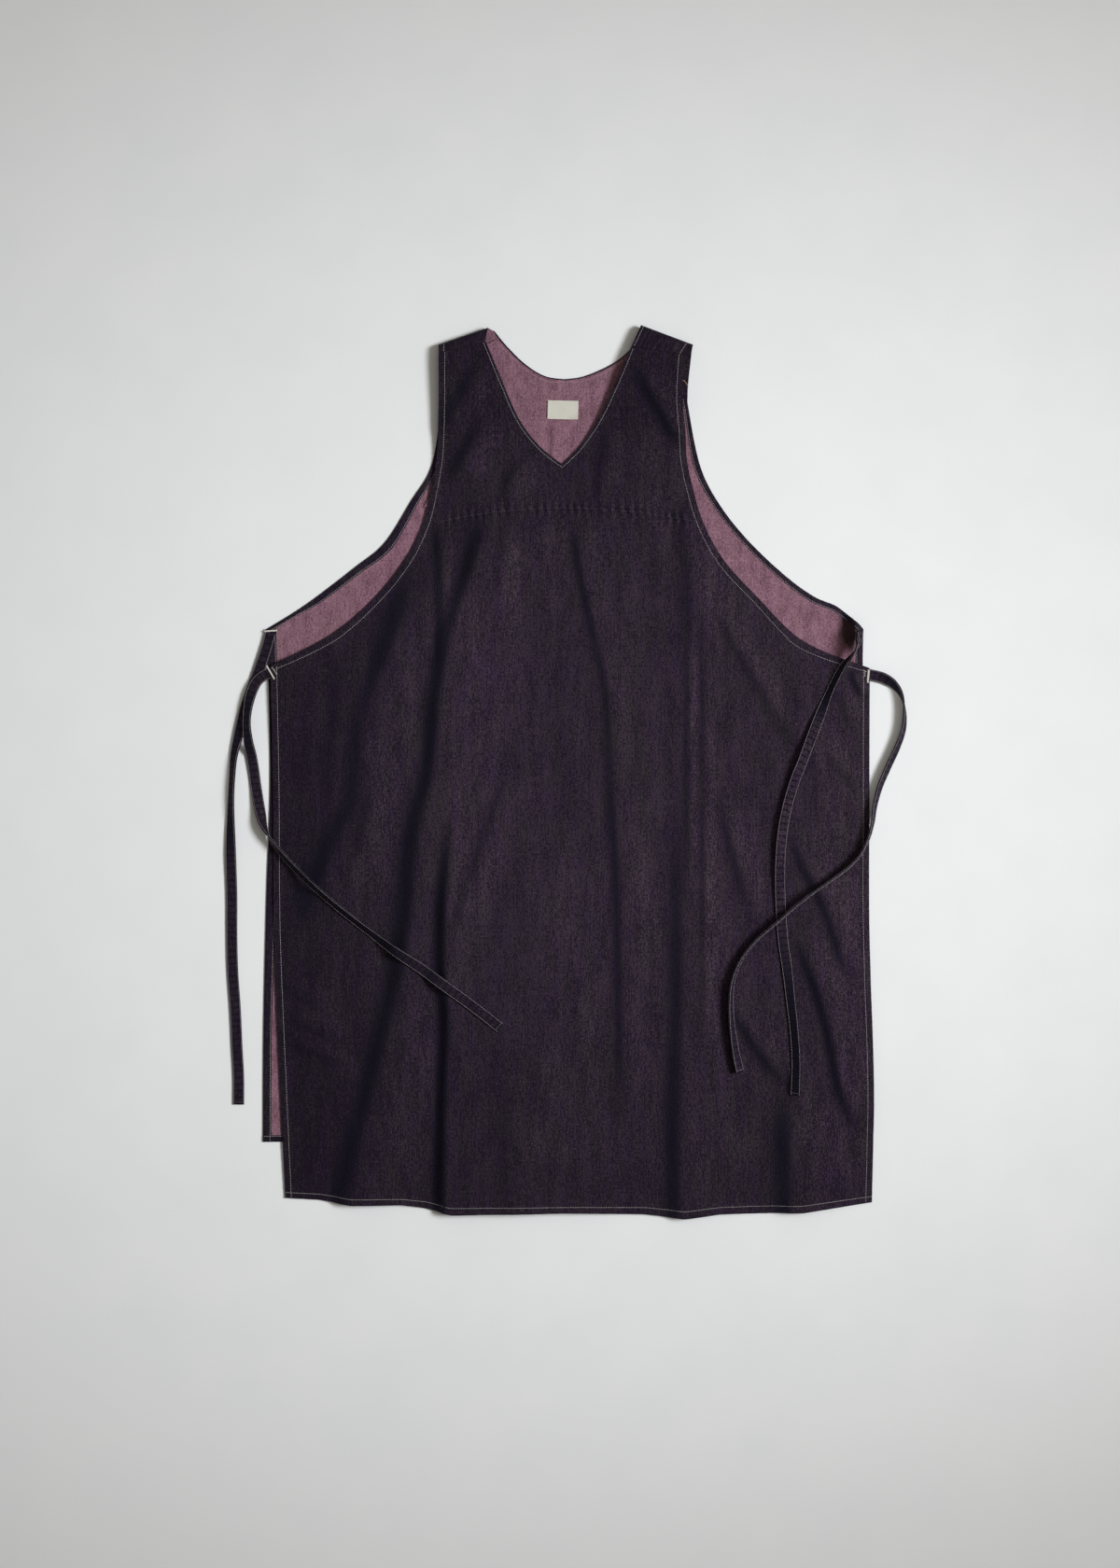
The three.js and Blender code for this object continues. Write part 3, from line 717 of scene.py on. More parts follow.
        # Painted shade of ridges across a narrow band: dark bands where the wave is high
        if self.ladder_mm:
            inputs = {"Vector": weave, "Scale": wave_scale(self.ladder_mm), "Distortion": 2.5, "Detail": 1.0}
            ridge = add_node(tree, "ShaderNodeTexWave", inputs, "Fac", bands_direction="Y")
            inputs = {0: ridge, 1: self.ladder_top, 2: 1.0, 4: -self.ladder_depth}
            parts.append(add_node(tree, "ShaderNodeMapRange", inputs))
        share = 0.5
        for part in parts:
            share = add_node(tree, "ShaderNodeMath", {0: share, 1: part}, operation="ADD")
        return share

    def surface(self, tree: Tree) -> dict:
        """Mixes the yarns' colours and gleams with painted shade on left-leaning slopes, and works the
        diagonal rib into the normal.

        Args:
            tree: where the nodes go.

        Returns:
            The shader's inputs.
        """
        weave = add_node(tree, "ShaderNodeUVMap", {}, uv_map=WEAVE_MAP)
        share = self.paleness(tree, weave)
        patches = self.lumps(tree, self.dull_mm, self.dull_seeds[0], 0.5 - self.dulling, 0.5 + self.dulling)
        swing = 0.5 * self.dulling
        drift = self.lumps(tree, self.drift_mm, self.dull_seeds[1], -swing, swing, detail=1.0)
        dull = add_node(tree, "ShaderNodeMath", {0: patches, 1: drift}, operation="ADD")
        # Painted shade: colour and gleam tint go towards the painted shade tones where the normal leans left,
        # away from the key light
        lean = add_node(tree, "ShaderNodeAttribute", {}, "Fac", attribute_name=LEAN_MAP)
        inputs = {0: lean, 1: self.painted_shade_lean[0], 2: self.painted_shade_lean[1], 4: self.painted_shade_share}
        painted_shade_share = add_node(tree, "ShaderNodeMapRange", inputs, interpolation_type="SMOOTHSTEP")

        layers = []
        for deep, pale in ((self.deep, self.pale), (self.dull_deep, self.dull_pale)):
            inputs = {0: share, 6: linear(deep), 7: linear(pale)}
            layers.append(add_node(tree, "ShaderNodeMix", inputs, 2, data_type="RGBA"))
        sets = [(*layers, linear(self.painted_shade))]
        if len(self.gleam_tints) > 1:
            sets.append([linear(tint) for tint in self.gleam_tints])
        mixed = []
        for clear, duller, painted_shade_tone in sets:
            shown = add_node(tree, "ShaderNodeMix", {0: dull, 6: clear, 7: duller}, 2, data_type="RGBA")
            inputs = {0: painted_shade_share, 6: shown, 7: painted_shade_tone}
            mixed.append(add_node(tree, "ShaderNodeMix", inputs, 2, data_type="RGBA"))

        slope = add_node(tree, "ShaderNodeMapping", {0: weave, 2: (0, 0, math.radians(self.rib_angle))})
        inputs = {"Vector": slope, "Scale": wave_scale(self.rib_mm), "Distortion": 1.5, "Detail": 1.0}
        rib = add_node(tree, "ShaderNodeTexWave", inputs, "Fac", bands_direction="X")
        relief = add_node(tree, "ShaderNodeMath", {0: rib, 1: share}, operation="MULTIPLY")
        inputs = {"Height": relief, "Distance": self.rib_height_mm * MM, "Strength": self.rib_strength}
        bump = add_node(tree, "ShaderNodeBump", inputs)
        inputs = {0: share, 1: self.middle[0], 2: self.middle[1], 3: self.rough[0], 4: self.rough[1]}
        return {
            "Base Color": mixed[0],
            "Roughness": add_node(tree, "ShaderNodeMapRange", inputs, clamp=False),
            "IOR": self.ior,
            "Specular IOR Level": self.gleam,
            "Specular Tint": mixed[1] if len(mixed) > 1 else linear(self.gleam_tints[0]),
            "Normal": bump,
        }


@dataclass(frozen=True)
class TwoTone(Finish):
    """Two tones that a pattern mixes; with a relief, the pattern's light places also stand out."""

    light: str
    shaded: str
    gloss: tuple = ()  # the shader's other inputs and their values
    relief: float = 0.0  # strength of the bump
    relief_mm: float = 0.1
    lump_mm: float = 1.0
    detail: float = 1.0  # finer layers of the lumps

    def pattern(self, tree: Tree) -> Socket:
        """Share of the light tone.

        Args:
            tree: where the nodes go.

        Returns:
            Lumps of a size in millimetres, on Object coordinates.
        """
        place = add_node(tree, "ShaderNodeTexCoord", {}, "Object")
        inputs = {"Vector": place, "Scale": 1000 / self.lump_mm, "Detail": self.detail}
        return add_node(tree, "ShaderNodeTexNoise", inputs)

    def surface(self, tree: Tree) -> dict:
        """Mixes the tones by the pattern.

        Args:
            tree: where the nodes go.

        Returns:
            The shader's inputs.
        """
        pattern = self.pattern(tree)
        inputs = {0: pattern, 6: linear(self.shaded), 7: linear(self.light)}
        colour = add_node(tree, "ShaderNodeMix", inputs, 2, data_type="RGBA")
        shader = {"Base Color": colour, **dict(self.gloss)}
        if self.relief:
            inputs = {"Height": pattern, "Distance": self.relief_mm * MM, "Strength": self.relief}
            shader["Normal"] = add_node(tree, "ShaderNodeBump", inputs)
        return shader


@dataclass(frozen=True)
class SpunThread(TwoTone):
    """Spun cotton sewing thread: two plies seen as light and shaded turns, with a soft fuzzy gleam."""

    gloss: tuple = (("Roughness", 0.7), ("IOR", 1.5), ("Sheen Weight", 0.1))
    relief: float = 0.5
    lump_mm: float = 0.9  # one turn of the plies, drawn coarser than the real 0.5 mm


@dataclass(frozen=True)
class LabelTape(TwoTone):
    """Woven polyester label tape: off-white, with a fine even grid of threads and a faint gleam."""

    name: str = "label_tape_weave"
    light: str = "#dcdad0"
    shaded: str = "#c5c3b8"
    gloss: tuple = (("Roughness", 0.62), ("IOR", 1.5), ("Sheen Weight", 0.05))
    relief: float = 0.4
    thread_mm: float = 0.9  # drawn three times as coarse as it is

    def pattern(self, tree: Tree) -> Socket:
        """A grid of threads: waves across times waves along the weave map.

        Args:
            tree: where the nodes go.

        Returns:
            The grid, light where two threads cross.
        """
        weave = add_node(tree, "ShaderNodeUVMap", {}, uv_map=WEAVE_MAP)
        inputs = {"Vector": weave, "Scale": wave_scale(self.thread_mm), "Distortion": 0.6}
        bands = [add_node(tree, "ShaderNodeTexWave", inputs, "Fac", bands_direction=way) for way in "XY"]
        return add_node(tree, "ShaderNodeMath", {0: bands[0], 1: bands[1]}, operation="MULTIPLY")


@dataclass(frozen=True)
class PaleBoard(TwoTone):
    """Matt painted board: an even pale grey with the faintest roller mottle."""

    name: str = "painted_board"
    light: str = "#eff1f1"
    shaded: str = "#e8ebec"
    gloss: tuple = (("Roughness", 0.9), ("Specular IOR Level", 0.2))
    lump_mm: float = 90.0
    detail: float = 2.0


# Colours of the cloth's two faces in the order of WovenCloth's fields, and the gleam of the dark one;
# the last colour of each face and the last gleam are the painted shade of slopes turned from the light
DARK_FACE = ("#0d0e1d", "#252033", "#121118", "#29262b", "#151623")
PINK_FACE = ("#604050", "#936b7d", "#654852", "#8f6d78", "#1c1216")
DARK_GLEAMS = ("#e6a4c2", "#dab6c0", "#b4a6dc")

FINISHES = {
    "outer": WovenCloth(
        "dark_warp_twill", *DARK_FACE, 0.35, DARK_GLEAMS, (0.76, 0.66), 1.3,
        deepening=(  # painted shade towards the shoulders and the left, which turn from the light; darker towards the foot
            (1, 180.0, 300.0, 0.12), (1, 330.0, 440.0, 0.25),
            (0, -130.0, -330.0, 0.3), (1, -150.0, -380.0, 0.15),
        ),
    ),
    # Ties are darker on the left, and a ladder of dark bands across them is painted shade of the ridges
    # inside
    "tie": WovenCloth(
        "dark_warp_twill_crosswise", *DARK_FACE, 0.35, DARK_GLEAMS, (0.76, 0.66), 1.2,
        deepening=((0, 0.0, -300.0, 0.2),), ladder_mm=7.5,
    ),
    # The pink face's painted shade, on slopes that lean left away from the light, is near black and goes
    # further
    "inner": WovenCloth(
        "dusty_pink_twill_reverse", *PINK_FACE, 0.2, ("#ffffff",), (0.85, 0.8),
        weights=(0.4, 0.15, 0.2, 0.8, 0.4), patch_mm=(12.0, 20.0), painted_shade_share=0.88,
    ),
    "white_thread": SpunThread("off_white_cotton_thread", "#bab8b5", "#8e8c89"),
    "tack_thread": SpunThread("off_white_tacking_thread", "#e0dcd3", "#b4b0a8"),
    "tie_thread": SpunThread("pale_lilac_cotton_thread", "#a59da3", "#7f767d"),
    "plum_thread": SpunThread("plum_cotton_thread", "#4a3a52", "#2f2638"),
    "pink_thread": SpunThread("pale_pink_cotton_thread", "#c9a9a8", "#9d7d80"),
    "tan_thread": SpunThread("tan_cotton_thread", "#b79b78", "#8d7352"),
    "label": LabelTape(),
}


@dataclass(frozen=True)
class Cut:
    """A panel's cut in plan: sections from foot to head, with corners at the underarm and at the neck."""

    rows: tuple
    underarm: int
    neck: int
    fineness: int = 60  # points of an edge's line for each section

    @property
    def last(self) -> int:
        """Number of the last section."""
        return len(self.rows) - 1

    def _through(self, column: int, corner: int, v: Array) -> Array:
        """The cornered curve through one column of the table."""
        return cornered(np.array([row[column] for row in self.rows], float), corner, np.asarray(v, float))

    def outer(self, side: Side, v: Array) -> Array:
        """Points of the outer edge of a half at section numbers v."""
        return self._through(0 if side is Side.LEFT else -1, self.underarm, v)

    def inner(self, side: Side, v: Array) -> Array:
        """Points of the middle or neck edge of a half at section numbers v."""
        return self._through(1 if side is Side.LEFT else -2, self.neck, v)

    def width(self, side: Side, v: Array) -> Array:
        """Length of the section lines of a half at v."""
        return np.linalg.norm(self.inner(side, v) - self.outer(side, v), axis=-1)

    def slant(self, side: Side, v: Array, at_neck: bool = False) -> Array:
        """Sine of the angle between the section lines and the edge that they start or end at.

        Args:
            side: which half.
            v: section numbers, clear of the corners.
            at_neck: for the inner edge instead of the outer one.

        Returns:
            The sine at each v, from which an inset square to the edge becomes a length along the section.
        """
        edge = self.inner if at_neck else self.outer
        way = unit(edge(side, v + STEP) - edge(side, v - STEP))
        line = unit(self.inner(side, v) - self.outer(side, v))
        return np.abs(way[..., 0] * line[..., 1] - way[..., 1] * line[..., 0])

    def plan(self, side: Side, v: Array, along: Array) -> Array:
        """Points at lengths along the section lines from the outer edge."""
        start, end = self.outer(side, v), self.inner(side, v)
        return start + unit(end - start) * np.asarray(along)[..., None]

    def steps(self, low: float, high: float, pitch: float) -> Array:
        """Section numbers from low to high about a pitch apart, with every whole number among them.

        Args:
            low: first of them.
            high: last of them.
            pitch: length between two of them.

        Returns:
            The numbers in order.
        """
        stops = np.unique(np.concatenate([[low, high], np.arange(math.ceil(low), math.floor(high) + 1)]))
        found = [np.array([low])]
        for a, b in zip(stops[:-1], stops[1:]):
            lines = [edge(side, np.array([a, b])) for edge in (self.outer, self.inner) for side in Side]
            longest = max(np.linalg.norm(line[1] - line[0]) for line in lines)
            found.append(np.linspace(a, b, max(round(longest / pitch), 1) + 1)[1:])
        return np.concatenate(found)

    def edge_parts(self) -> dict:
        """The outline's parts, each as a dense line in plan.

        Returns:
            The lines by name, from foot to head or from left to right.
        """
        v = np.linspace(0, self.last, self.fineness * self.last + 1)
        up = np.linspace(self.neck, self.last, self.fineness * (self.last - self.neck) + 1)
        left, right = (self.outer(side, v) for side in Side)
        return {
            "left": left,
            "right": right,
            "foot": np.vstack([left[:1], self.inner(Side.LEFT, np.zeros(1)), right[:1]]),
            "neck_left": self.inner(Side.LEFT, up),
            "neck_right": self.inner(Side.RIGHT, up),
        }

    def outline(self) -> Array:
        """The closed outline in plan: up the left side, round the neck, down the right and along the foot."""
        order = (("left", 1), ("neck_left", -1), ("neck_right", 1), ("right", -1), ("foot", -1))
        return np.vstack([self.edge_parts()[name][::step] for name, step in order])


@dataclass
class Panel:
    """A cloth panel made of two halves that join along the middle below the neck."""

    cut: Cut
    face_up: Face
    row_pitch: float
    columns: int  # of each half, beyond the lines near its edge
    over: float = 0.0  # how far section numbers go on past the last section
    square_corner: bool = False  # whether an armhole's hem starts square to its corner

    def heights(self, x: Array, y: Array, v: Array) -> Array:
        """Height of the middle of the cloth; each panel has its own."""
        raise NotImplementedError

    def surface(self, side: Side, v: Array, along: Array) -> Array:
        """Points of the middle of the cloth at section numbers v and lengths along the sections."""
        plan = self.cut.plan(side, v, along)
        return np.concatenate([plan, self.heights(plan[..., 0], plan[..., 1], v)[..., None]], axis=-1)

    def foot_sections(self, insets: Array) -> Array:
        """Section numbers at distances up from the foot, read in the middle."""
        v = np.linspace(0, 1, 200)
        return np.interp(insets, way_along(self.cut.inner(Side.LEFT, v)), v)

    def rows(self) -> Array:
        """Section numbers of the grid's rows, with close ones along the foot."""
        close = self.foot_sections(np.array(EDGE_LINES))
        return np.concatenate([close[:-1], self.cut.steps(close[-1], self.cut.last, self.row_pitch)])

    def half(self, side: Side, rows: Array) -> tuple:
        """The grid of one half: lines near the outer edge, then even columns to the middle or neck.

        Args:
            side: which half.
            rows: section numbers.

        Returns:
            Points and weave places, both as rows of columns.
        """
        width = self.cut.width(side, np.minimum(rows, self.cut.last))[:, None]
        close = np.array(EDGE_LINES)[None, :] * np.minimum(1.0, width / EDGE_ROOM)
        share = np.linspace(0, 1, self.columns + 1)[1:][None, :]
        along = np.concatenate([close, mix(close[:, -1:], width, share)], axis=1)
        v = np.broadcast_to(rows[:, None], along.shape)
        return self.surface(side, v, along), self.weave(side, v, along)

    def weave(self, side: Side, v: Array, along: Array) -> Array:
        """Places on the flat cloth at section numbers v and lengths along the sections."""
        return self.cut.plan(side, v, along)

    def wall(self) -> Shape:
        """The panel's cloth as a closed wall.

        Returns:
            The wall, its outer face with finish 0 and its inner face with finish 1.
        """
        rows = self.rows()
        (left, left_weave), (right, right_weave) = (self.half(side, rows) for side in Side)
        shape = left.shape[:2]
        numbers = np.arange(left.size // 3).reshape(shape)
        others = numbers + numbers.size
        joined = rows <= self.cut.neck
        others[joined, -1] = numbers[joined, -1]
        quads = np.vstack([grid_quads(numbers), grid_quads(others)[:, ::-1]])
        points = np.vstack([left.reshape(-1, 3), right.reshape(-1, 3)])
        weave = np.vstack([left_weave.reshape(-1, 2), right_weave.reshape(-1, 2)])
        used, quads = np.unique(quads, return_inverse=True)
        quads = quads.reshape(-1, 4)
        if self.face_up is Face.INNER:
            quads = quads[:, ::-1]
        return cloth_wall(points[used], quads, weave[used], CLOTH / 2, CLOTH / 2)

    def hem_share(self, side: Side, v: Array) -> Array:
        """Share of the full hem width of a half at section numbers v."""
        return np.ones_like(v)

    def strip(self, side: Side, v: Array, insets: Array) -> Array:
        """Points of the cloth's middle along an outer edge, at insets square to it.

        Args:
            side: which half.
            v: section numbers, clear of the underarm.
            insets: distances from the edge.

        Returns:
            Rows along the edge of points from the edge inwards.
        """
        most = 0.9  # of a section's length
        flat = np.minimum(v, self.cut.last - CLEAR)
        along = insets[None, :] * (self.hem_share(side, flat) / self.cut.slant(side, flat))[:, None]
        along = np.minimum(along, most * self.cut.width(side, flat)[:, None])
        return self.surface(side, np.broadcast_to(v[:, None], along.shape), along)

    def foot_strip(self, insets: Array) -> Array:
        """Points of the cloth's middle along the foot, at insets from it.

        Args:
            insets: distances from the foot.

        Returns:
            Rows from left to right of points from the foot upwards.
        """
        found = []
        for side in Side:
            width = self.cut.width(side, np.zeros(1))[0]
            along = np.linspace(0, width, round(width / STRIP_PITCH))
            v = np.broadcast_to(self.foot_sections(insets)[None, :], (along.size, insets.size))
            stretch = self.cut.width(side, v) / width
            found.append(self.surface(side, v, along[:, None] * stretch))
        return np.vstack([found[0], found[1][-2::-1]])

    def edge_runs(self) -> dict:
        """Section numbers at even steps along the sides and armholes.

        Returns:
            The numbers by side and part.
        """
        corner, head = self.cut.underarm, self.cut.last + self.over
        spans = {"side": (CLEAR, corner - CLEAR), "armhole": (corner + CLEAR, head - CLEAR)}
        runs = {}
        for side in Side:
            for part, span in spans.items():
                v = np.linspace(*span, 400)
                way = way_along(self.surface(side, v, np.zeros(v.size)))
                count = max(round(way[-1] / STRIP_PITCH), 1) + 1
                runs[side, part] = np.interp(np.linspace(0, way[-1], count), way, v)
        return runs

    def hems(self) -> Shape:
        """The turned hems on the inner face: bands with a dip along their stitches and small puckers.

        Returns:
            One shape with a band for each side, each armhole and the foot.
        """
        sunk, rolled = 0.08, -0.2  # into the cloth; below this a point of the section lies on a rolled edge
        insets, proud = np.array(HEM_PROFILE).T
        height, _, length, turn = HEM_PUCKER
        bands = []
        runs = [(self.strip(side, v, insets), side, part) for (side, part), v in self.edge_runs().items()]
        runs.append((self.foot_strip(insets), Side.RIGHT, "foot"))
        for points, side, part in runs:
            quads = grid_quads(np.arange(points[..., 0].size).reshape(points.shape[:2]))
            faces_up = side is Side.LEFT and part != "foot"
            if faces_up != (self.face_up is Face.INNER):
                quads = quads[:, ::-1]
            phase = np.arange(len(points))[:, None] * STRIP_PITCH / length * math.tau
            pucker = height * np.sin(phase + insets[None, :] * turn)
            up = CLOTH / 2 + HEM_EXTRA + HEM_LIFTS[part] + proud[None, :] + pucker * (proud > rolled)[None, :]
            flat = points.reshape(-1, 3)
            bands.append(cloth_wall(flat, quads, flat[:, :2], up.ravel(), -(CLOTH / 2 - sunk)))
        return Shape.joined(bands)

    def hem_lines(self, inset: float) -> list:
        """Lines in the cloth's middle along every hem.

        An armhole's line is carried on to its corner, past where the section lines start it.

        Args:
            inset: distance from the edges.

        Returns:
            A line for each side and armhole and one for the foot.
        """
        at = np.array([inset])
        lines = [self.foot_strip(at)[:, 0]]
        for (side, part), v in self.edge_runs().items():
            v = v[v < self.cut.last]
            line = self.strip(side, v, at)[:, 0]
            if part == "armhole" and not self.square_corner:
                slant = self.cut.slant(side, v[:1])[0]
                short = inset * self.hem_share(side, v[:1])[0] * math.sqrt(1 / slant**2 - 1)
                back = short * np.linspace(1, 0.1, 8)
                plan = line[0, :2] + unit(line[0, :2] - line[2, :2]) * back[:, None]
                height = self.heights(plan[:, 0], plan[:, 1], np.full(back.size, v[0]))
                line = np.vstack([np.column_stack([plan, height]), line])
            lines.append(line)
        return lines

    def neck_line(self, inset: float) -> Array:
        """A line in the cloth's middle along the neck, from the left shoulder round to the right one.

        Args:
            inset: distance from the neck's edge.

        Returns:
            The line; at the neck's point both sides run on until they meet.
        """
        v = np.linspace(self.cut.neck + CLEAR, self.cut.last - CLEAR, 160)
        halves = []
        for side in Side:
            along = self.cut.width(side, v) - inset / self.cut.slant(side, v, at_neck=True)
            halves.append(self.surface(side, v, along))
        left, right = halves
        a, b = left[0, :2] - left[4, :2], right[0, :2] - right[4, :2]
        share = np.linalg.solve(np.stack([a, -b], axis=1), right[0, :2] - left[0, :2])[0]
        meet = np.concatenate([left[0, :2] + a * share, [(left[0, 2] + right[0, 2]) / 2]])
        keep = left[:, 0] < meet[0], right[:, 0] > meet[0]
        return np.vstack([left[keep[0]][::-1], meet[None, :], right[keep[1]]])

    def area(self) -> float:
        """Flat area of the cut in square metres, from the cross products of its outline's corners.

        Returns:
            The area.
        """
        outline = self.cut.outline()
        ahead = np.roll(outline, -1, axis=0)
        twice = (outline[:, 0] * ahead[:, 1] - outline[:, 1] * ahead[:, 0]).sum()
        return abs(float(twice)) / 2 * MM * MM


@dataclass
class FrontPanel(Panel):
    """The front: it lies on the back with soft folds, and rises to the shoulder seams."""

    cut: Cut = Cut(FRONT_ROWS, underarm=4, neck=9)
    face_up: Face = Face.OUTER
    row_pitch: float = 6.0
    columns: int = 98
    loft: float = 8.2
    loft_reach: float = 70.0
    shoulder_top: float = 14.5
    shoulder_rise: float = 1.5  # power of the rise to it
    hem_swell: float = 0.45
    hem_step: tuple = (7.8, 10.4)  # distances from the edge between which that falls
    hem_sway: tuple = (0.6, 0.8)  # way along which the hems pucker
    stitch_dip: float = 0.35
    stitch_width: float = 0.9
    neck_swell: float = 0.3
    neck_step: tuple = (4.5, 8.0)
    chest_rows: tuple = (7.1, 8.3)  # sections between which rows lie closer, for the chest line's puckers
    chest_pitch: float = 2.0
    chest_arch: tuple = ((-150.2, 294.8), (-3.9, 310.2), (153.5, 293.7))  # three points of that line
    chest_ends: tuple = (-148.0, 150.0)  # x of its ends
    chest_fades: tuple = (-152.0, -140.0, 140.0, 152.0)  # x between which its puckers come and go
    chest_dip: tuple = (0.8, 2.4)  # depth and width of the groove in which it lies
    pinch_height: float = 1.45
    pinch_reach: float = 5.0  # above and below the line
    pinch_pitch: float = 9.8  # between two puckers
    pinch_wander: tuple = (1.9, 17.0)  # how far and over which length that pitch wanders
    pinch_offset: float = 0.5  # of the puckers above against those below
    pinch_uneven: tuple = (0.2, 8.3, 0.9, 23.0)  # how much lower some are, over which length, its wander
    ripple_seed: int = 11
    ripple_count: int = 14
    ripple_height: float = 0.15
    ripple_across: tuple = (38, 120)
    ripple_along: tuple = (160, 620)
    ripple_sizes: tuple = (0.4, 1.0)
    edge_ripple: float = 0.4  # part of the ripples that is left at the edges
    crease_fades: tuple = (-0.15, 0.3, 0.7, 1.15)  # parts of its length where a crease comes and goes
    fold_fineness: int = 24  # points of a crest's line for each of its own

    def __post_init__(self) -> None:
        """Reads the outline once, at even steps."""
        part = self.cut.edge_parts()
        hemmed = [part["left"], part["right"], part["foot"]]
        self.hem_edge = np.vstack([even_line(p, 2.0) for p in hemmed])
        self.neck_edge = np.vstack([even_line(part[name], 2.0) for name in ("neck_left", "neck_right")])

    def rows(self) -> Array:
        """Section numbers of the grid's rows, closer where the chest line crosses."""
        rows, close = super().rows(), self.cut.steps(*self.chest_rows, self.chest_pitch)
        return np.concatenate([rows[rows < close[0]], close, rows[rows > close[-1]]])

    def fold_heights(self, x: Array, y: Array) -> Array:
        """Height of the folds: bells about crests that follow splines, and smaller straight creases.

        Args:
            x: places, across.
            y: places, up.

        Returns:
            The sum of all folds at each place.
        """
        total = np.zeros_like(x)
        for crest, height, steep, gentle, head_fade, foot_fade in FOLDS:
            head, foot = crest[0][1], crest[-1][1]
            t = np.linspace(0, len(crest) - 1, self.fold_fineness * len(crest))
            dense = spline(np.array(crest, float), t)[::-1]
            across = x - np.interp(y, dense[:, 1], dense[:, 0])
            bell = np.exp(-((across / np.where(across < 0, steep, gentle)) ** 2))
            ends = smoothstep(y, foot, foot + foot_fade) * (1 - smoothstep(y, head - head_fade, head))
            total += height * bell * ends
        a, b, c, d = self.crease_fades
        for start, end, height, left, right in CREASES:
            way = np.subtract(end, start)
            length = np.hypot(*way)
            dx, dy = x - start[0], y - start[1]
            along = (dx * way[0] + dy * way[1]) / length**2
            across = (dx * way[1] - dy * way[0]) / length
            bell = np.exp(-((across / np.where(across < 0, left, right)) ** 2))
            total += height * bell * smoothstep(along, a, b) * (1 - smoothstep(along, c, d))
        return total

    def ripples(self, x: Array, y: Array) -> Array:
        """Unevenness of the cloth: long waves that run mostly up and down, from a fixed seed.

        Args:
            x: places, across.
            y: places, up.

        Returns:
            Their sum at each place.
        """
        rng = np.random.default_rng(self.ripple_seed)
        count = self.ripple_count
        across = rng.uniform(*self.ripple_across, count) * rng.choice([-1, 1], count)
        along = rng.uniform(*self.ripple_along, count)
        phase = rng.uniform(0, math.tau, count)
        size = self.ripple_height * rng.uniform(*self.ripple_sizes, count)
        total = np.zeros_like(x)
        for a, b, p, s in zip(across, along, phase, size):
            total += s * np.sin(math.tau * (x / a + y / b) + p)
        return total

    def chest_y(self, x: Array) -> Array:
        """How far up the panel the stitch line across the chest lies: the parabola through three points."""
        return np.polyval(np.polyfit(*np.array(self.chest_arch).T, 2), x)

    def chest_relief(self, x: Array, y: Array) -> Array:
        """The chest line's puckers: waves along the line that die out above and below it, over a groove.

        Args:
            x: places, across.
            y: places, up.

        Returns:
            Height to add at each place.
        """
        off = y - self.chest_y(x)
        a, b, c, d = self.chest_fades
        sides = smoothstep(x, a, b) * (1 - smoothstep(x, c, d))
        wander, length = self.pinch_wander
        phase = math.tau * x / self.pinch_pitch + wander * np.sin(x / length)
        pinch = np.sin(phase + self.pinch_offset * np.sign(off))
        lower, length, wander, over = self.pinch_uneven
        uneven = 1 - lower + lower * np.sin(x / length + wander * np.sin(x / over))
        depth, width = self.chest_dip
        waves = self.pinch_height * uneven * pinch * np.exp(-np.abs(off) / self.pinch_reach)
        return sides * (waves - depth * np.exp(-((off / width) ** 2)))

    def sewn_relief(self, x: Array, y: Array, to_hem: Array, to_neck: Array) -> Array:
        """What sewing does to the outer face: hems stand proud, stitch lines sink, the chest line puckers.

        Args:
            x: places, across.
            y: places, up.
            to_hem: distance to the nearest hemmed edge.
            to_neck: distance to the neck's edge.

        Returns:
            Height to add at each place.
        """
        _, height, length, turn = HEM_PUCKER
        hem = 1 - smoothstep(to_hem, *self.hem_step)
        sway = math.tau * (self.hem_sway[0] * x + self.hem_sway[1] * y) / length
        relief = hem * (self.hem_swell + height * np.sin(sway + turn * to_hem))
        relief -= self.stitch_dip * np.exp(-(((to_hem - HEM_STITCH) / self.stitch_width) ** 2))
        relief += self.neck_swell * (1 - smoothstep(to_neck, *self.neck_step))
        return relief + self.chest_relief(x, y)

    def heights(self, x: Array, y: Array, v: Array) -> Array:
        """Height of the middle of the cloth: loft over the back, folds, sewing and the rise to the shoulders.

        Args:
            x: places, across.
            y: places, up.
            v: their section numbers.

        Returns:
            The height at each place.
        """
        to_hem, to_neck = (smooth_distance(edge, x, y) for edge in (self.hem_edge, self.neck_edge))
        inside = (to_hem**-5 + to_neck**-5) ** -0.2
        rest = np.interp(y, *np.array(EDGE_RESTS, float).T)
        free = smoothstep(inside, 0, self.loft_reach)
        lying = mix(rest, self.loft, free) + self.ripples(x, y) * mix(self.edge_ripple, 1.0, free)
        rising = smoothstep(v, self.cut.neck, self.cut.last) ** self.shoulder_rise
        folds = self.fold_heights(x, y) * (1 - smoothstep(v, self.cut.last - 1, self.cut.last))
        sewn = self.sewn_relief(x, y, to_hem, to_neck) * (1 - rising / 2)
        return mix(lying, self.shoulder_top, rising) + folds + sewn

    def surface(self, side: Side, v: Array, along: Array) -> Array:
        """Points of the middle of the cloth, with the hem's dips below its sections."""
        x, y, z = np.moveaxis(super().surface(side, v, along), -1, 0)
        return np.stack([x, y - np.interp(x, *np.array(HEM_DIPS).T) * np.maximum(0, 1 - v) ** 2, z], axis=-1)

    def chest_line(self) -> Array:
        """The stitch line across the chest, in the cloth's middle."""
        x = np.linspace(*self.chest_ends, 150)
        return np.stack([x, self.chest_y(x), self.heights(x, self.chest_y(x), np.zeros_like(x))], axis=1)


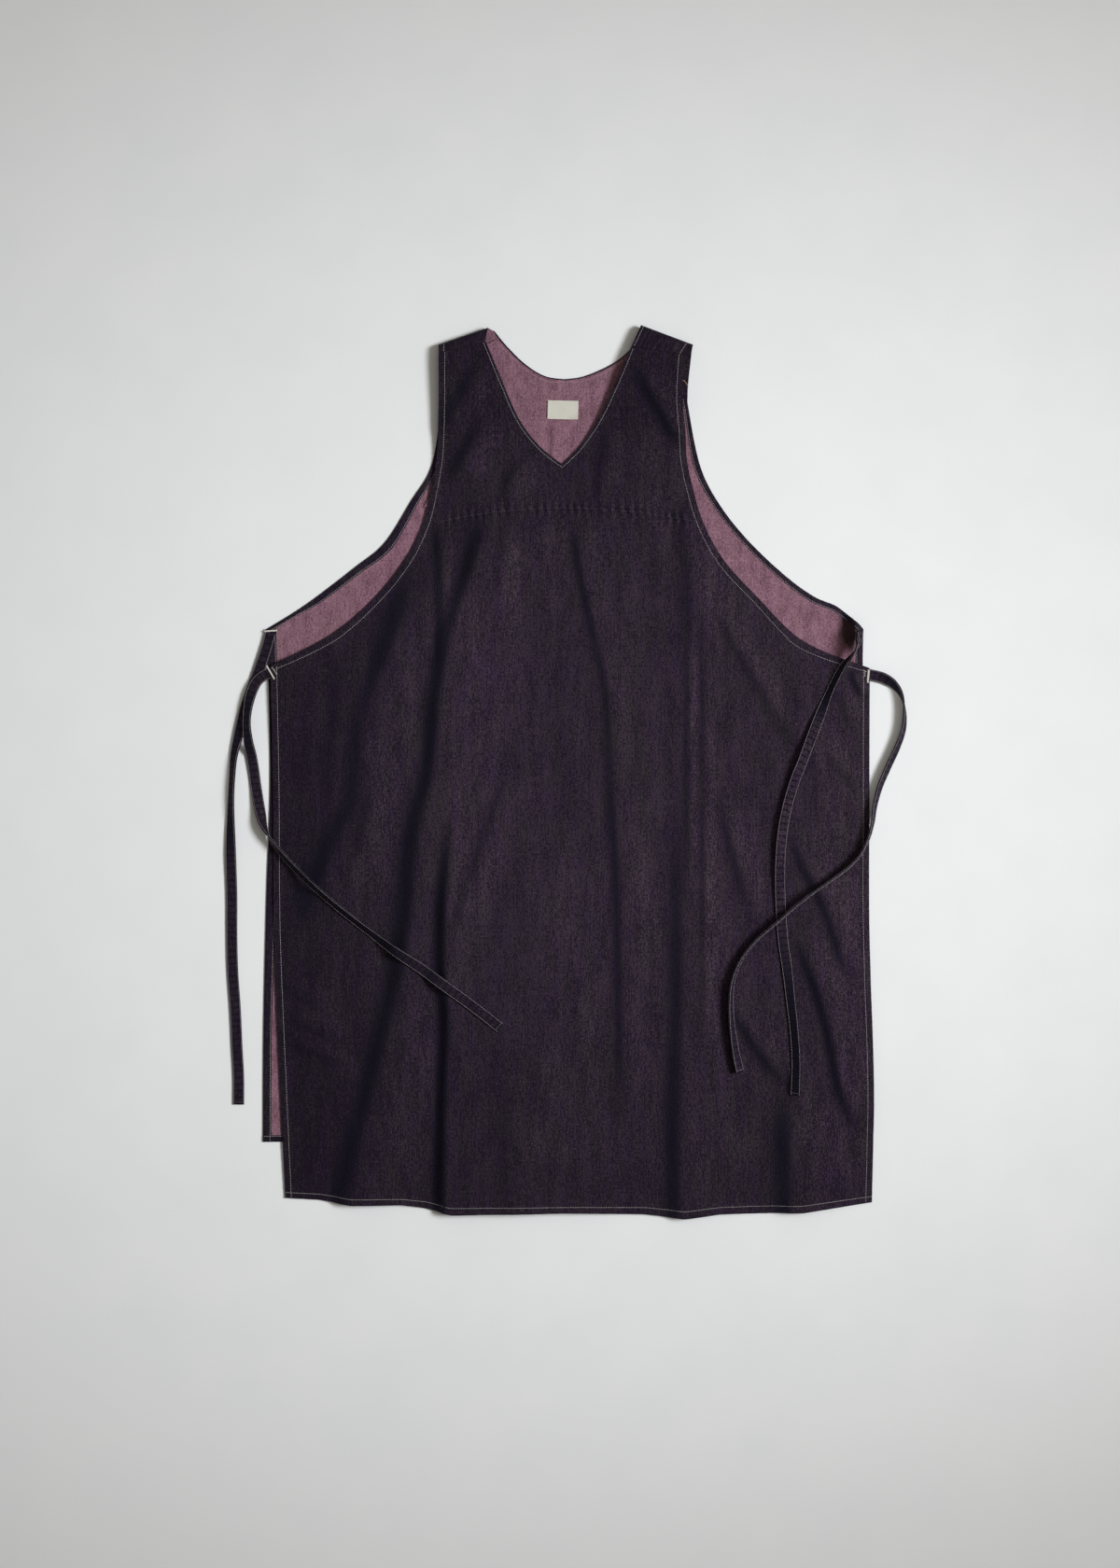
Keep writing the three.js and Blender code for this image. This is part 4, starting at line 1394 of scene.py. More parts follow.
@dataclass
class BackPanel(Panel):
    """The back: it lies flat with its inner face up and turns over the shoulders to the seams."""

    cut: Cut = Cut(BACK_ROWS, underarm=4, neck=11)
    face_up: Face = Face.INNER
    row_pitch: float = 6.0
    columns: int = 44
    over: float = 1.0  # over the shoulders to the seams
    square_corner: bool = True
    turn_radius: float = 7.0
    turn_share: float = 0.75  # of the last unit of v, the rest runs flat to the seam
    turn_rows: int = 20
    turn_seen: tuple = (0.45, 0.98)  # of that unit, where stitches show on the turned shoulder
    square_until: tuple = (8.0, 10.0)  # sections between which hems go over to following the section lines
    curl: float = 19.0  # how far the corner at the right underarm stands up
    curl_place: tuple = (338.5, 172.0)
    curl_reach: tuple = (8.4, 10.0, 23.0)  # to the left, to the right, up and down

    def rows(self) -> Array:
        """Section numbers of the grid's rows, on over the shoulders."""
        turned = np.linspace(0, 1, self.turn_rows + 1)[1:]
        return np.concatenate([super().rows(), self.cut.last + turned])

    def hem_share(self, side: Side, v: Array) -> Array:
        """Share of the full hem width, from one table below the underarm and from the other above it."""
        low, high = (np.interp(v, *np.array(table[side.value]).T) for table in (SIDE_HEMS, ARMHOLE_HEMS))
        return np.where(v < self.cut.underarm, low, high)

    def strip(self, side: Side, v: Array, insets: Array) -> Array:
        """Points along an outer edge at insets; low on the armholes, where it bends, each lies square to it.

        Args:
            side: which half.
            v: section numbers, clear of the underarm.
            insets: distances from the edge.

        Returns:
            Rows along the edge of points from the edge inwards.
        """
        points = super().strip(side, v, insets)
        flat = np.minimum(v, self.cut.last - CLEAR)
        way = unit(self.cut.outer(side, flat + STEP) - self.cut.outer(side, flat - STEP))
        inwards = np.stack([way[:, 1], -way[:, 0]], axis=1) * (1 if side is Side.LEFT else -1)
        by = (self.hem_share(side, flat)[:, None] * insets[None, :])[..., None]
        square = self.cut.outer(side, flat)[:, None, :] + inwards[:, None, :] * by
        low = (v > self.cut.underarm) * (1 - smoothstep(v, *self.square_until))
        points[..., :2] = mix(points[..., :2], square, low[:, None, None])
        lying = v <= self.cut.last
        points[lying, :, 2] = self.heights(points[lying, :, 0], points[lying, :, 1], v[lying, None])
        return points

    def shoulder_lines(self) -> list:
        """Lines on the turned shoulders from the fold to the seam.

        Returns:
            A line along each armhole and one along the right of the neck.
        """
        v = self.cut.last + np.linspace(*self.turn_seen, 16)
        lines = [self.surface(side, v, np.full(v.size, HEM_STITCH)) for side in Side]
        neck = self.cut.width(Side.RIGHT, np.full(v.size, float(self.cut.last))) - NECK_STITCH
        return lines + [self.surface(Side.RIGHT, v, neck)]

    def heights(self, x: Array, y: Array, v: Array) -> Array:
        """Height of the middle of the cloth: flat on the surface below, with a bell for the curled corner.

        Args:
            x: places, across.
            y: places, up.
            v: their section numbers; not used.

        Returns:
            The height at each place.
        """
        left, right, high = self.curl_reach
        across, up = x - self.curl_place[0], (y - self.curl_place[1]) / high
        return CLOTH / 2 + self.curl * np.exp(-((across / np.where(across < 0, left, right)) ** 2) - up**2)

    def surface(self, side: Side, v: Array, along: Array) -> Array:
        """Points of the middle of the cloth: flat, half a turn over each shoulder, and flat to the seam.

        Args:
            side: which half.
            v: section numbers; past the last section they go over the shoulder.
            along: lengths along the sections.

        Returns:
            The points.
        """
        last = np.full(np.shape(v), float(self.cut.last))
        points = super().surface(side, np.minimum(v, last), along)
        share = (np.asarray(along) / self.cut.width(side, last))[..., None]
        fold_arm, fold_neck = np.array(SHOULDER_FOLDS[side.value], float)
        seam_arm, seam_neck = np.array(SHOULDER_SEAMS[side.value], float)
        fold, seam = mix(fold_arm, fold_neck, share), mix(seam_arm, seam_neck, share)
        over = fold + unit(seam - fold) * self.turn_radius
        past = np.maximum(v - self.cut.last, 0)
        angle = math.pi * np.minimum(past / self.turn_share, 1)
        base = np.where((angle < math.pi / 2)[..., None], points[..., :2], over)
        carried = mix(base, fold, np.sin(angle)[..., None])
        carried = mix(carried, seam, smoothstep(past, self.turn_share, 1)[..., None])
        points[..., 2] += self.turn_radius * (1 - np.cos(angle))
        points[..., :2] = np.where((past > 0)[..., None], carried, points[..., :2])
        return points

    def weave(self, side: Side, v: Array, along: Array) -> Array:
        """Places on the flat cloth, which goes on over the shoulder."""
        over = np.maximum(v - self.cut.last, 0) * math.pi * self.turn_radius
        return self.cut.plan(side, np.minimum(v, self.cut.last), along) + np.stack([0 * over, over], axis=-1)


@dataclass
class NeckFacing(Panel):
    """The facing inside the back neck, flat on the back with its inner side up."""

    cut: Cut = Cut(FACING_ROWS, underarm=0, neck=2)
    face_up: Face = Face.OUTER
    row_pitch: float = 4.0
    columns: int = 36
    fullness: float = 0.5
    wave: tuple = (31.0, 1.7, 19.0, 90.0)  # length, how far it wanders and over which length, and its slant
    calm_rows: tuple = (2.0, 4.0)  # sections between which the waves die out
    crease: tuple = (-17.0, 1.6, 3.2)  # x, height and width
    crease_top: tuple = (395.0, 425.0)  # y between which it fades

    def heights(self, x: Array, y: Array, v: Array) -> Array:
        """Height of the middle of the cloth: flat, with low upright waves that die out towards the neck.

        Args:
            x: places, across.
            y: places, up.
            v: their section numbers.

        Returns:
            The height at each place.
        """
        length, wander, over, slant = self.wave
        wave = 0.5 + 0.5 * np.sin(math.tau * x / length + wander * np.sin(x / over) + y / slant)
        calm = 1 - smoothstep(v, *self.calm_rows)
        place, height, width = self.crease
        crease = height * np.exp(-(((x - place) / width) ** 2)) * (1 - smoothstep(y, *self.crease_top))
        return CLOTH + GAP + CLOTH / 2 + self.fullness * wave * calm + crease


def tubes(centre: Array, aside: Array, above: Array, radius: Array, sides: int) -> Shape:
    """Several tubes with closed ends: each ring is a circle in two directions about a point of a tube's line.

    Args:
        centre: points of each tube's line.
        aside: one direction square to the line at each.
        above: the other one.
        radius: of each ring, the same for all tubes.
        sides: corners of a ring.

    Returns:
        All tubes in one shape.
    """
    angle = np.arange(sides) / sides * math.tau
    ring = aside[:, :, None, :] * np.cos(angle)[:, None] + above[:, :, None, :] * np.sin(angle)[:, None]
    points = (centre[:, :, None, :] + ring * radius[None, :, None, None]).reshape(-1, 3)
    number = np.arange(len(points)).reshape(*centre.shape[:2], sides)
    low, high = number[:, :-1], number[:, 1:]
    corners = (low, np.roll(low, -1, axis=2), np.roll(high, -1, axis=2), high)
    quads = np.stack([c.ravel() for c in corners], axis=1)
    caps = np.vstack([number[:, 0, ::-1], number[:, -1]])
    kinds = [np.zeros(len(faces), int) for faces in (quads, caps)]
    return Shape(points, [quads, caps], kinds, points[:, :2])


def bead(line: Array, radius: float) -> Shape:
    """A round bead along one line: a tube that is thin at its end rings and full two rings further in.

    Args:
        line: points of its middle.
        radius: of its full rings.

    Returns:
        The closed bead.
    """
    ahead = unit(np.gradient(line, axis=0))
    aside = unit(np.cross(UP, ahead))
    ends = np.minimum(np.arange(len(line)), np.arange(len(line))[::-1])
    thin = np.interp(ends, (0, 1, 2), (0.4, 0.7, 1.0))
    return tubes(line[None], aside[None], np.cross(ahead, aside)[None], radius * thin, sides=6)


@dataclass(frozen=True)
class Stitches:
    """A row of lockstitches: short bent capsules that dip into the cloth at both ends."""

    pitch: float = 3.0
    length: float = 2.35
    radius: float = 0.26
    sides: int = 5
    rings: tuple = (-0.5, -0.27, 0.27, 0.5)  # places along a stitch, in parts of its length
    proud: tuple = (-0.45, 0.35, 0.35, -0.45)  # height of each ring over the cloth, in parts of the radius
    full: tuple = (0.55, 1.0, 1.0, 0.55)  # size of each ring

    def along(self, line: Array, up: Array) -> Shape:
        """Lays stitches along a line.

        Each stitch is four rings about the line: the end rings are smaller and sunk, the middle ones proud.

        Args:
            line: points on the cloth's surface.
            up: the surface's normal at each.

        Returns:
            All stitches of the line.
        """
        way = way_along(line)
        count = max(int(way[-1] / self.pitch), 1)
        spare = way[-1] - count * self.pitch
        middle = (np.arange(count) + 0.5) * self.pitch + spare / 2
        offset = np.array(self.rings) * self.length
        proud, full = np.array([self.proud, self.full]) * self.radius
        rows = read_line(np.hstack([line, up]), middle[:, None] + offset[None, :])
        reach = 0.4 * self.length
        ends = read_line(line, np.stack([middle - reach, middle + reach], axis=1))
        ahead = unit(ends[:, 1] - ends[:, 0])[:, None, :]
        above = unit(rows[..., 3:] - (rows[..., 3:] * ahead).sum(-1, keepdims=True) * ahead)
        aside = np.cross(above, ahead)
        return tubes(rows[..., :3] + above * proud[None, :, None], aside, above, full, self.sides)

    def over(self, lines: list, lift: float) -> Shape:
        """Lays stitches along several lines on an upper face."""
        return Shape.joined([self.along(line + UP * lift, np.broadcast_to(UP, line.shape)) for line in lines])


@dataclass(frozen=True)
class BarTack:
    """A bar of close zigzag stitches, where it lies and how it is turned."""

    x: float
    y: float
    angle: float
    length: float = 12.0
    width: float = 2.2
    pitch: float = 0.95  # along the bar, of one swing there and back
    radius: float = 0.4
    overlap: float = 1.15  # length of a thread against its step

    def shape(self, height: float) -> Shape:
        """The bar: steps along it that swing from one side to the other, with a thread for each.

        Args:
            height: of the cloth below it.

        Returns:
            All its threads.
        """
        count = 2 * round(self.length / self.pitch) + 1
        along = np.linspace(-0.5, 0.5, count) * self.length
        aside = np.where(np.arange(count) % 2 == 0, 0.5, -0.5) * self.width
        turn = math.radians(self.angle)
        x = self.x + along * math.cos(turn) - aside * math.sin(turn)
        y = self.y + along * math.sin(turn) + aside * math.cos(turn)
        line = np.stack([x, y, np.full(count, height)], axis=1)
        step = float(np.linalg.norm(line[1] - line[0]))
        return Stitches(step, self.overlap * step, self.radius).along(line, np.broadcast_to(UP, line.shape))


@dataclass
class Bed:
    """What ties lie on: the surface below, the back, the front, and ties that were laid before."""

    front: FrontPanel
    back: BackPanel
    outline_pitch: float = 6.0
    clearance: float = 0.1  # over the cloth's face
    tie_clearance: float = 1.0  # beside a tie that was laid before

    def __post_init__(self) -> None:
        """Reads the outlines once."""
        cuts = (self.front.cut, self.back.cut)
        self.front_outline, self.back_outline = (even_line(cut.outline(), self.outline_pitch) for cut in cuts)
        self.laid: list = []

    def height(self, x: Array, y: Array, on_front: Array) -> Array:
        """Height of the highest thing at each place.

        Args:
            x: places, across.
            y: places, up.
            on_front: where the front counts.

        Returns:
            The height.
        """
        face = CLOTH / 2 + self.clearance
        back = self.back.heights(x, y, np.zeros_like(x)) + face + HEM_EXTRA
        top = np.where(contains(self.back_outline, x, y), back, 0.0)
        over = contains(self.front_outline, x, y) & on_front
        front = self.front.heights(x[over], y[over], np.zeros(over.sum())) + face
        top[over] = np.maximum(top[over], front)
        for line, reach, high in self.laid:
            away = np.hypot(x[..., None] - line[:, 0], y[..., None] - line[:, 1])
            near = away < reach + self.tie_clearance
            top = np.maximum(top, np.where(near, high, 0.0).max(axis=-1))
        return top


@dataclass
class Tie:
    """A flat sewn tie: a band of folded cloth, stitched along both edges, laid along its route."""

    name: str
    width: float = 13.0
    thickness: float = 2.0
    edge_stitch: float = 0.95
    pitch: float = 3.0
    tuck: float = 0.0  # how far its sewn end goes in under the front
    settle: int = 5  # steps on each side over which it evens out what it lies on
    free_after: float = 60.0  # length from a tucked end to where it may lie on the front
    comes_up: float = 26.0  # length over which a tucked end rises to what it lies on
    probes: tuple = (-4.0, 0.0, 4.0)  # how far back and ahead it feels for what it lies on
    edge_round: float = 0.9
    groove: tuple = (0.2, 0.45)  # depth and width of the dent that its stitches make
    stitch_lift: float = 0.08
    end_thin: tuple = (0.35, 0.9)  # how much thinner its free end is, and over which length
    pucker: tuple = (0.1, 7.5, 1.3, 17.0)  # height, length, how far it wanders and over which length

    def route(self) -> Array:
        """The route at even steps, on a smooth curve, with the sewn end carried in under the front.

        Returns:
            Rows of x, y, 0, turn in degrees and rise.
        """
        route = np.array([(*row, 0.0)[:4] for row in TIE_ROUTES[self.name]])
        if self.tuck:
            back = route[0, :2] - unit(route[1, :2] - route[0, :2]) * self.tuck
            route = np.vstack([[*back, route[0, 2], 0], route])
        t = np.linspace(0, len(route) - 1, 40 * len(route))
        turn, rise = (np.interp(t, np.arange(len(route)), route[:, k]) for k in (2, 3))
        rows = np.column_stack([route_curve(route[:, :2], t), np.zeros(len(t)), turn, rise])
        return even_line(rows, self.pitch)

    def lay(self, bed: Bed) -> None:
        """Finds the tie's middle line, its width and thickness directions, and adds it to the bed.

        The line follows the route in plan; at each step it clears the highest thing under the tie, and the
        highest of the steps around is averaged, so that it never cuts into what it lies on.

        Args:
            bed: what lies below.
        """
        rows = self.route()
        size = 2 * self.settle + 1
        kernel = np.ones(size) / size
        turn = np.radians(np.convolve(np.pad(rows[:, 3], self.settle, mode="edge"), kernel, "valid"))
        ahead = unit(np.gradient(rows[:, :2], axis=0))
        across = np.stack([-ahead[:, 1], ahead[:, 0]], axis=1)
        lying, standing = np.abs(np.cos(turn)), np.abs(np.sin(turn))
        reach = (self.width * lying + self.thickness * standing) / 2
        half = (self.thickness * lying + self.width * standing) / 2
        aside = np.linspace(-1, 1, 7)[None, :, None] * reach[:, None, None]
        forth = np.array(self.probes)[None, None, :]
        x, y = (
            rows[:, None, None, k] + ahead[:, None, None, k] * forth + across[:, None, None, k] * aside
            for k in (0, 1)
        )
        way = way_along(rows[:, :3])
        free = way > self.free_after
        on_front = np.broadcast_to((free if self.tuck else way >= 0)[:, None, None], x.shape)
        top = bed.height(x, y, on_front).max(axis=(1, 2))
        need = np.pad(top + GAP + half + rows[:, 4] * free, 2 * self.settle, mode="edge")
        highest = np.lib.stride_tricks.sliding_window_view(need, size).max(axis=1)
        z = np.convolve(highest, kernel, "valid")
        if self.tuck:
            start = float(bed.front.heights(rows[:1, 0], rows[:1, 1], np.zeros(1))[0])
            up = smoothstep(way, self.tuck, self.tuck + self.comes_up)
            z = mix(start - CLOTH / 2 - self.thickness / 2, z, up)
        self.line = np.column_stack([rows[:, :2], z])
        tangent = unit(np.gradient(self.line, axis=0))
        flat = unit(np.stack([-tangent[:, 1], tangent[:, 0], np.zeros(len(z))], axis=1))
        above = np.cross(tangent, flat)
        cos, sin = np.cos(turn)[:, None], np.sin(turn)[:, None]
        self.wide = flat * cos + above * sin
        self.thick = above * cos - flat * sin
        bed.laid.append((self.line, reach, z + half))

    def profile(self) -> tuple:
        """Half the band's section: places across it and the thickness there, less at edges and stitches.

        Returns:
            Places from edge to edge and half the thickness at each.
        """
        half = self.width / 2
        stitch = half - self.edge_stitch
        inner = np.array([0.0, 0.25, 0.5, 0.72]) * stitch
        outer = np.array([stitch - 0.5, stitch - 0.2, stitch, half - 0.6, half - 0.2, half - 0.04])
        right = np.concatenate([inner, outer])
        u = np.concatenate([-right[:0:-1], right])
        past = np.maximum(np.abs(u) - (half - self.edge_round), 0) / self.edge_round
        fall = np.sqrt(np.clip(1 - past**2, 0.02, 1))
        depth, width = self.groove
        return u, self.thickness / 2 * fall - depth * np.exp(-(((np.abs(u) - stitch) / width) ** 2))

    def band(self) -> Shape:
        """The band: its section carried along the line, closed at both ends.

        Returns:
            The closed shape, with its weave along its length.
        """
        u, h = self.profile()
        count, size = len(self.line), len(u)
        way = way_along(self.line)
        thinner, reach = self.end_thin
        thin = 1 - thinner * np.exp(-((way[-1] - way) / reach) ** 2)
        high, length, wander, over = self.pucker
        pucker = 1 + high * np.sin(way * math.tau / length + wander * np.sin(way / over))
        height = h[None, :] * (thin * pucker)[:, None]
        middle = self.line[:, None, :] + self.wide[:, None, :] * u[None, :, None]
        lift = self.thick[:, None, :] * height[..., None]
        points = np.stack([middle + lift, middle - lift], axis=0)
        number = np.arange(2 * count * size).reshape(2, count, size)
        top, low = number
        sides = [grid_quads(top)[:, ::-1], grid_quads(low)]
        for k, turned in ((0, False), (-1, True)):
            rim = grid_quads(np.stack([top[:, k], low[:, k]]))
            cap = grid_quads(np.stack([top[k], low[k]]))
            sides += [rim[:, ::-1] if turned else rim, cap if turned else cap[:, ::-1]]
        place = np.stack(np.meshgrid(u, way), axis=-1)
        weave = np.concatenate([place, place]).reshape(-1, 2) + self.line[0, :2]
        kinds = [np.zeros(len(q), int) for q in sides]
        return Shape(points.reshape(-1, 3), sides, kinds, weave)

    def stitching(self, stitches: Stitches) -> Shape:
        """Stitches along both edges and across the end, on both faces.

        Args:
            stitches: how they are made.

        Returns:
            All of them.
        """
        u, h = self.profile()
        at = self.width / 2 - self.edge_stitch
        lift = float(np.interp(at, u, h)) + self.stitch_lift
        parts = []
        for face in (1, -1):
            up = self.thick * face
            for edge in (at, -at):
                line = self.line + self.wide * edge + up * lift
                parts.append(stitches.along(line[1:], up[1:]))
            share = np.linspace(-0.9, 0.9, 12)[:, None] * at
            end = self.line[-2] + self.wide[-2] * share + up[-2] * lift
            parts.append(stitches.along(end, np.broadcast_to(up[-2], end.shape)))
        return Shape.joined(parts)

    def declare(self, band: Piece, stitching: Piece) -> None:
        """Takes the band and its stitches, and does nothing with them.

        Args:
            band: the tie's object; not used.
            stitching: the stitches on it; not used.
        """


@dataclass
class NeckLabel:
    """The woven patch inside the back neck, bare, with one corner a little up."""

    width: float = 36.0
    height: float = 22.0
    thickness: float = 0.8
    x: float = -6.0
    y: float = 426.2
    turn: float = -1.5
    bottom: float = 2.9
    corner_lift: float = 1.6
    corner_from: float = 0.1  # part of the width right of the middle from which it lifts
    sway: tuple = (0.12, 9.0, 5.0)  # height, and turns across and up
    border: float = 1.3
    border_fold: tuple = (0.16, 0.6)  # how much thicker the border is, and over which width that falls
    border_round: tuple = (0.22, 0.4)  # how much its edge is rounded off, and over which width

    def wall(self) -> Shape:
        """The patch: a flat grid whose lower right corner rises, thicker along its folded border.

        Returns:
            The closed wall.
        """
        across, up = np.meshgrid(np.linspace(-0.5, 0.5, 46), np.linspace(-0.5, 0.5, 30))
        x, y = across * self.width, up * self.height
        turn = math.radians(self.turn)
        right = np.clip(across - self.corner_from, 0, 1) / (0.5 - self.corner_from)
        lift = self.corner_lift * (right * np.clip(-up, 0, 1) / 0.5) ** 2
        sway = self.sway[0] * np.sin(across * self.sway[1]) * np.cos(up * self.sway[2])
        z = self.bottom + self.thickness / 2 + lift + sway
        place_x = self.x + x * math.cos(turn) - y * math.sin(turn)
        place_y = self.y + x * math.sin(turn) + y * math.cos(turn)
        points = np.stack([place_x, place_y, z], axis=-1).reshape(-1, 3)
        quads = grid_quads(np.arange(x.size).reshape(x.shape))
        inset = np.minimum(self.width / 2 - np.abs(x), self.height / 2 - np.abs(y))
        thicker, fall = self.border_fold
        folded = thicker * (1 - smoothstep(inset, self.border, self.border + fall))
        less, reach = self.border_round
        rounded = less * np.exp(-((inset / reach) ** 2))
        upper = self.thickness / 2 + (folded - rounded).ravel()
        weave = np.stack([x, y], axis=-1).reshape(-1, 2)
        return cloth_wall(points, quads, weave, upper, self.thickness / 2)


@dataclass(frozen=True)
class SoftBox:
    """A square area light that fans out by a limited angle, in metres and degrees."""

    name: str
    place: tuple
    target: tuple
    size: float
    fan: float
    watts: float
    colour: str

    def build(self) -> None:
        """Puts the light into the scene, turned to its target and unseen by the camera."""
        data = bpy.data.lights.new(self.name, "AREA")
        data.size = self.size
        data.spread = math.radians(self.fan)
        data.energy = self.watts
        data.color = linear(self.colour)[:3]
        light = bpy.data.objects.new(self.name, data)
        light.location = self.place
        away = np.subtract(self.place, self.target)
        level = math.hypot(away[0], away[1])
        light.rotation_euler = (math.atan2(level, away[2]), 0.0, math.atan2(away[0], -away[1]))
        light.visible_camera = False
        bpy.context.scene.collection.objects.link(light)


@dataclass(frozen=True)
class Studio:
    """A pale floor, soft light mostly from the right, and a camera straight above."""

    view_x: float = -9.35
    view_y: float = -14.3
    camera_height: float = 4000.0
    frame_height: float = 1848.0  # that the camera sees on the floor
    sensor: float = 36.0
    far: float = 50.0  # in metres, that the camera sees
    floor_half: float = 4000.0
    floor_drop: float = 0.4
    key: SoftBox = SoftBox(
        "key_from_right", (3.34, 0.3, 3.76), (-0.19, -0.01, 0.0), 1.54, fan=38.5, watts=14.7, colour="#f9fbff"
    )
    fill: SoftBox = SoftBox(
        "top_fill", (0.71, 0.075, 1.7), (0.71, 0.075, 0.0), 1.6, fan=140.0, watts=2.94, colour="#fffaf2"
    )
    surround: float = 0.2
    surround_colour: str = "#fff6e8"

    def camera(self) -> None:
        """Sets the camera straight above, its long side along Y."""
        data = bpy.data.cameras.new("camera")
        data.sensor_width = self.sensor
        data.lens = self.sensor * self.camera_height / self.frame_height
        data.clip_end = self.far
        data.dof.use_dof = False
        camera = bpy.data.objects.new("camera", data)
        camera.location = (self.view_x * MM, self.view_y * MM, self.camera_height * MM)
        bpy.context.scene.collection.objects.link(camera)
        bpy.context.scene.camera = camera

    def build(self) -> None:
        """Makes the floor, the lights and the surrounding light."""
        signs = np.array([[-1, -1], [1, -1], [1, 1], [-1, 1]])
        corners = np.column_stack([signs * self.floor_half, np.full(4, -self.floor_drop)])
        quad = Shape(corners, [np.array([[0, 1, 2, 3]])], [np.zeros(1, int)], corners[:, :2])
        floor = mesh_object("floor", quad, [PaleBoard().build()])
        self.key.build()
        self.fill.build()
        world = bpy.data.worlds.new("surround")
        world.use_nodes = True
        background = world.node_tree.nodes["Background"]
        background.inputs[0].default_value = linear(self.surround_colour)
        background.inputs[1].default_value = self.surround
        bpy.context.scene.world = world
        bpy.context.scene.view_settings.view_transform = "Standard"


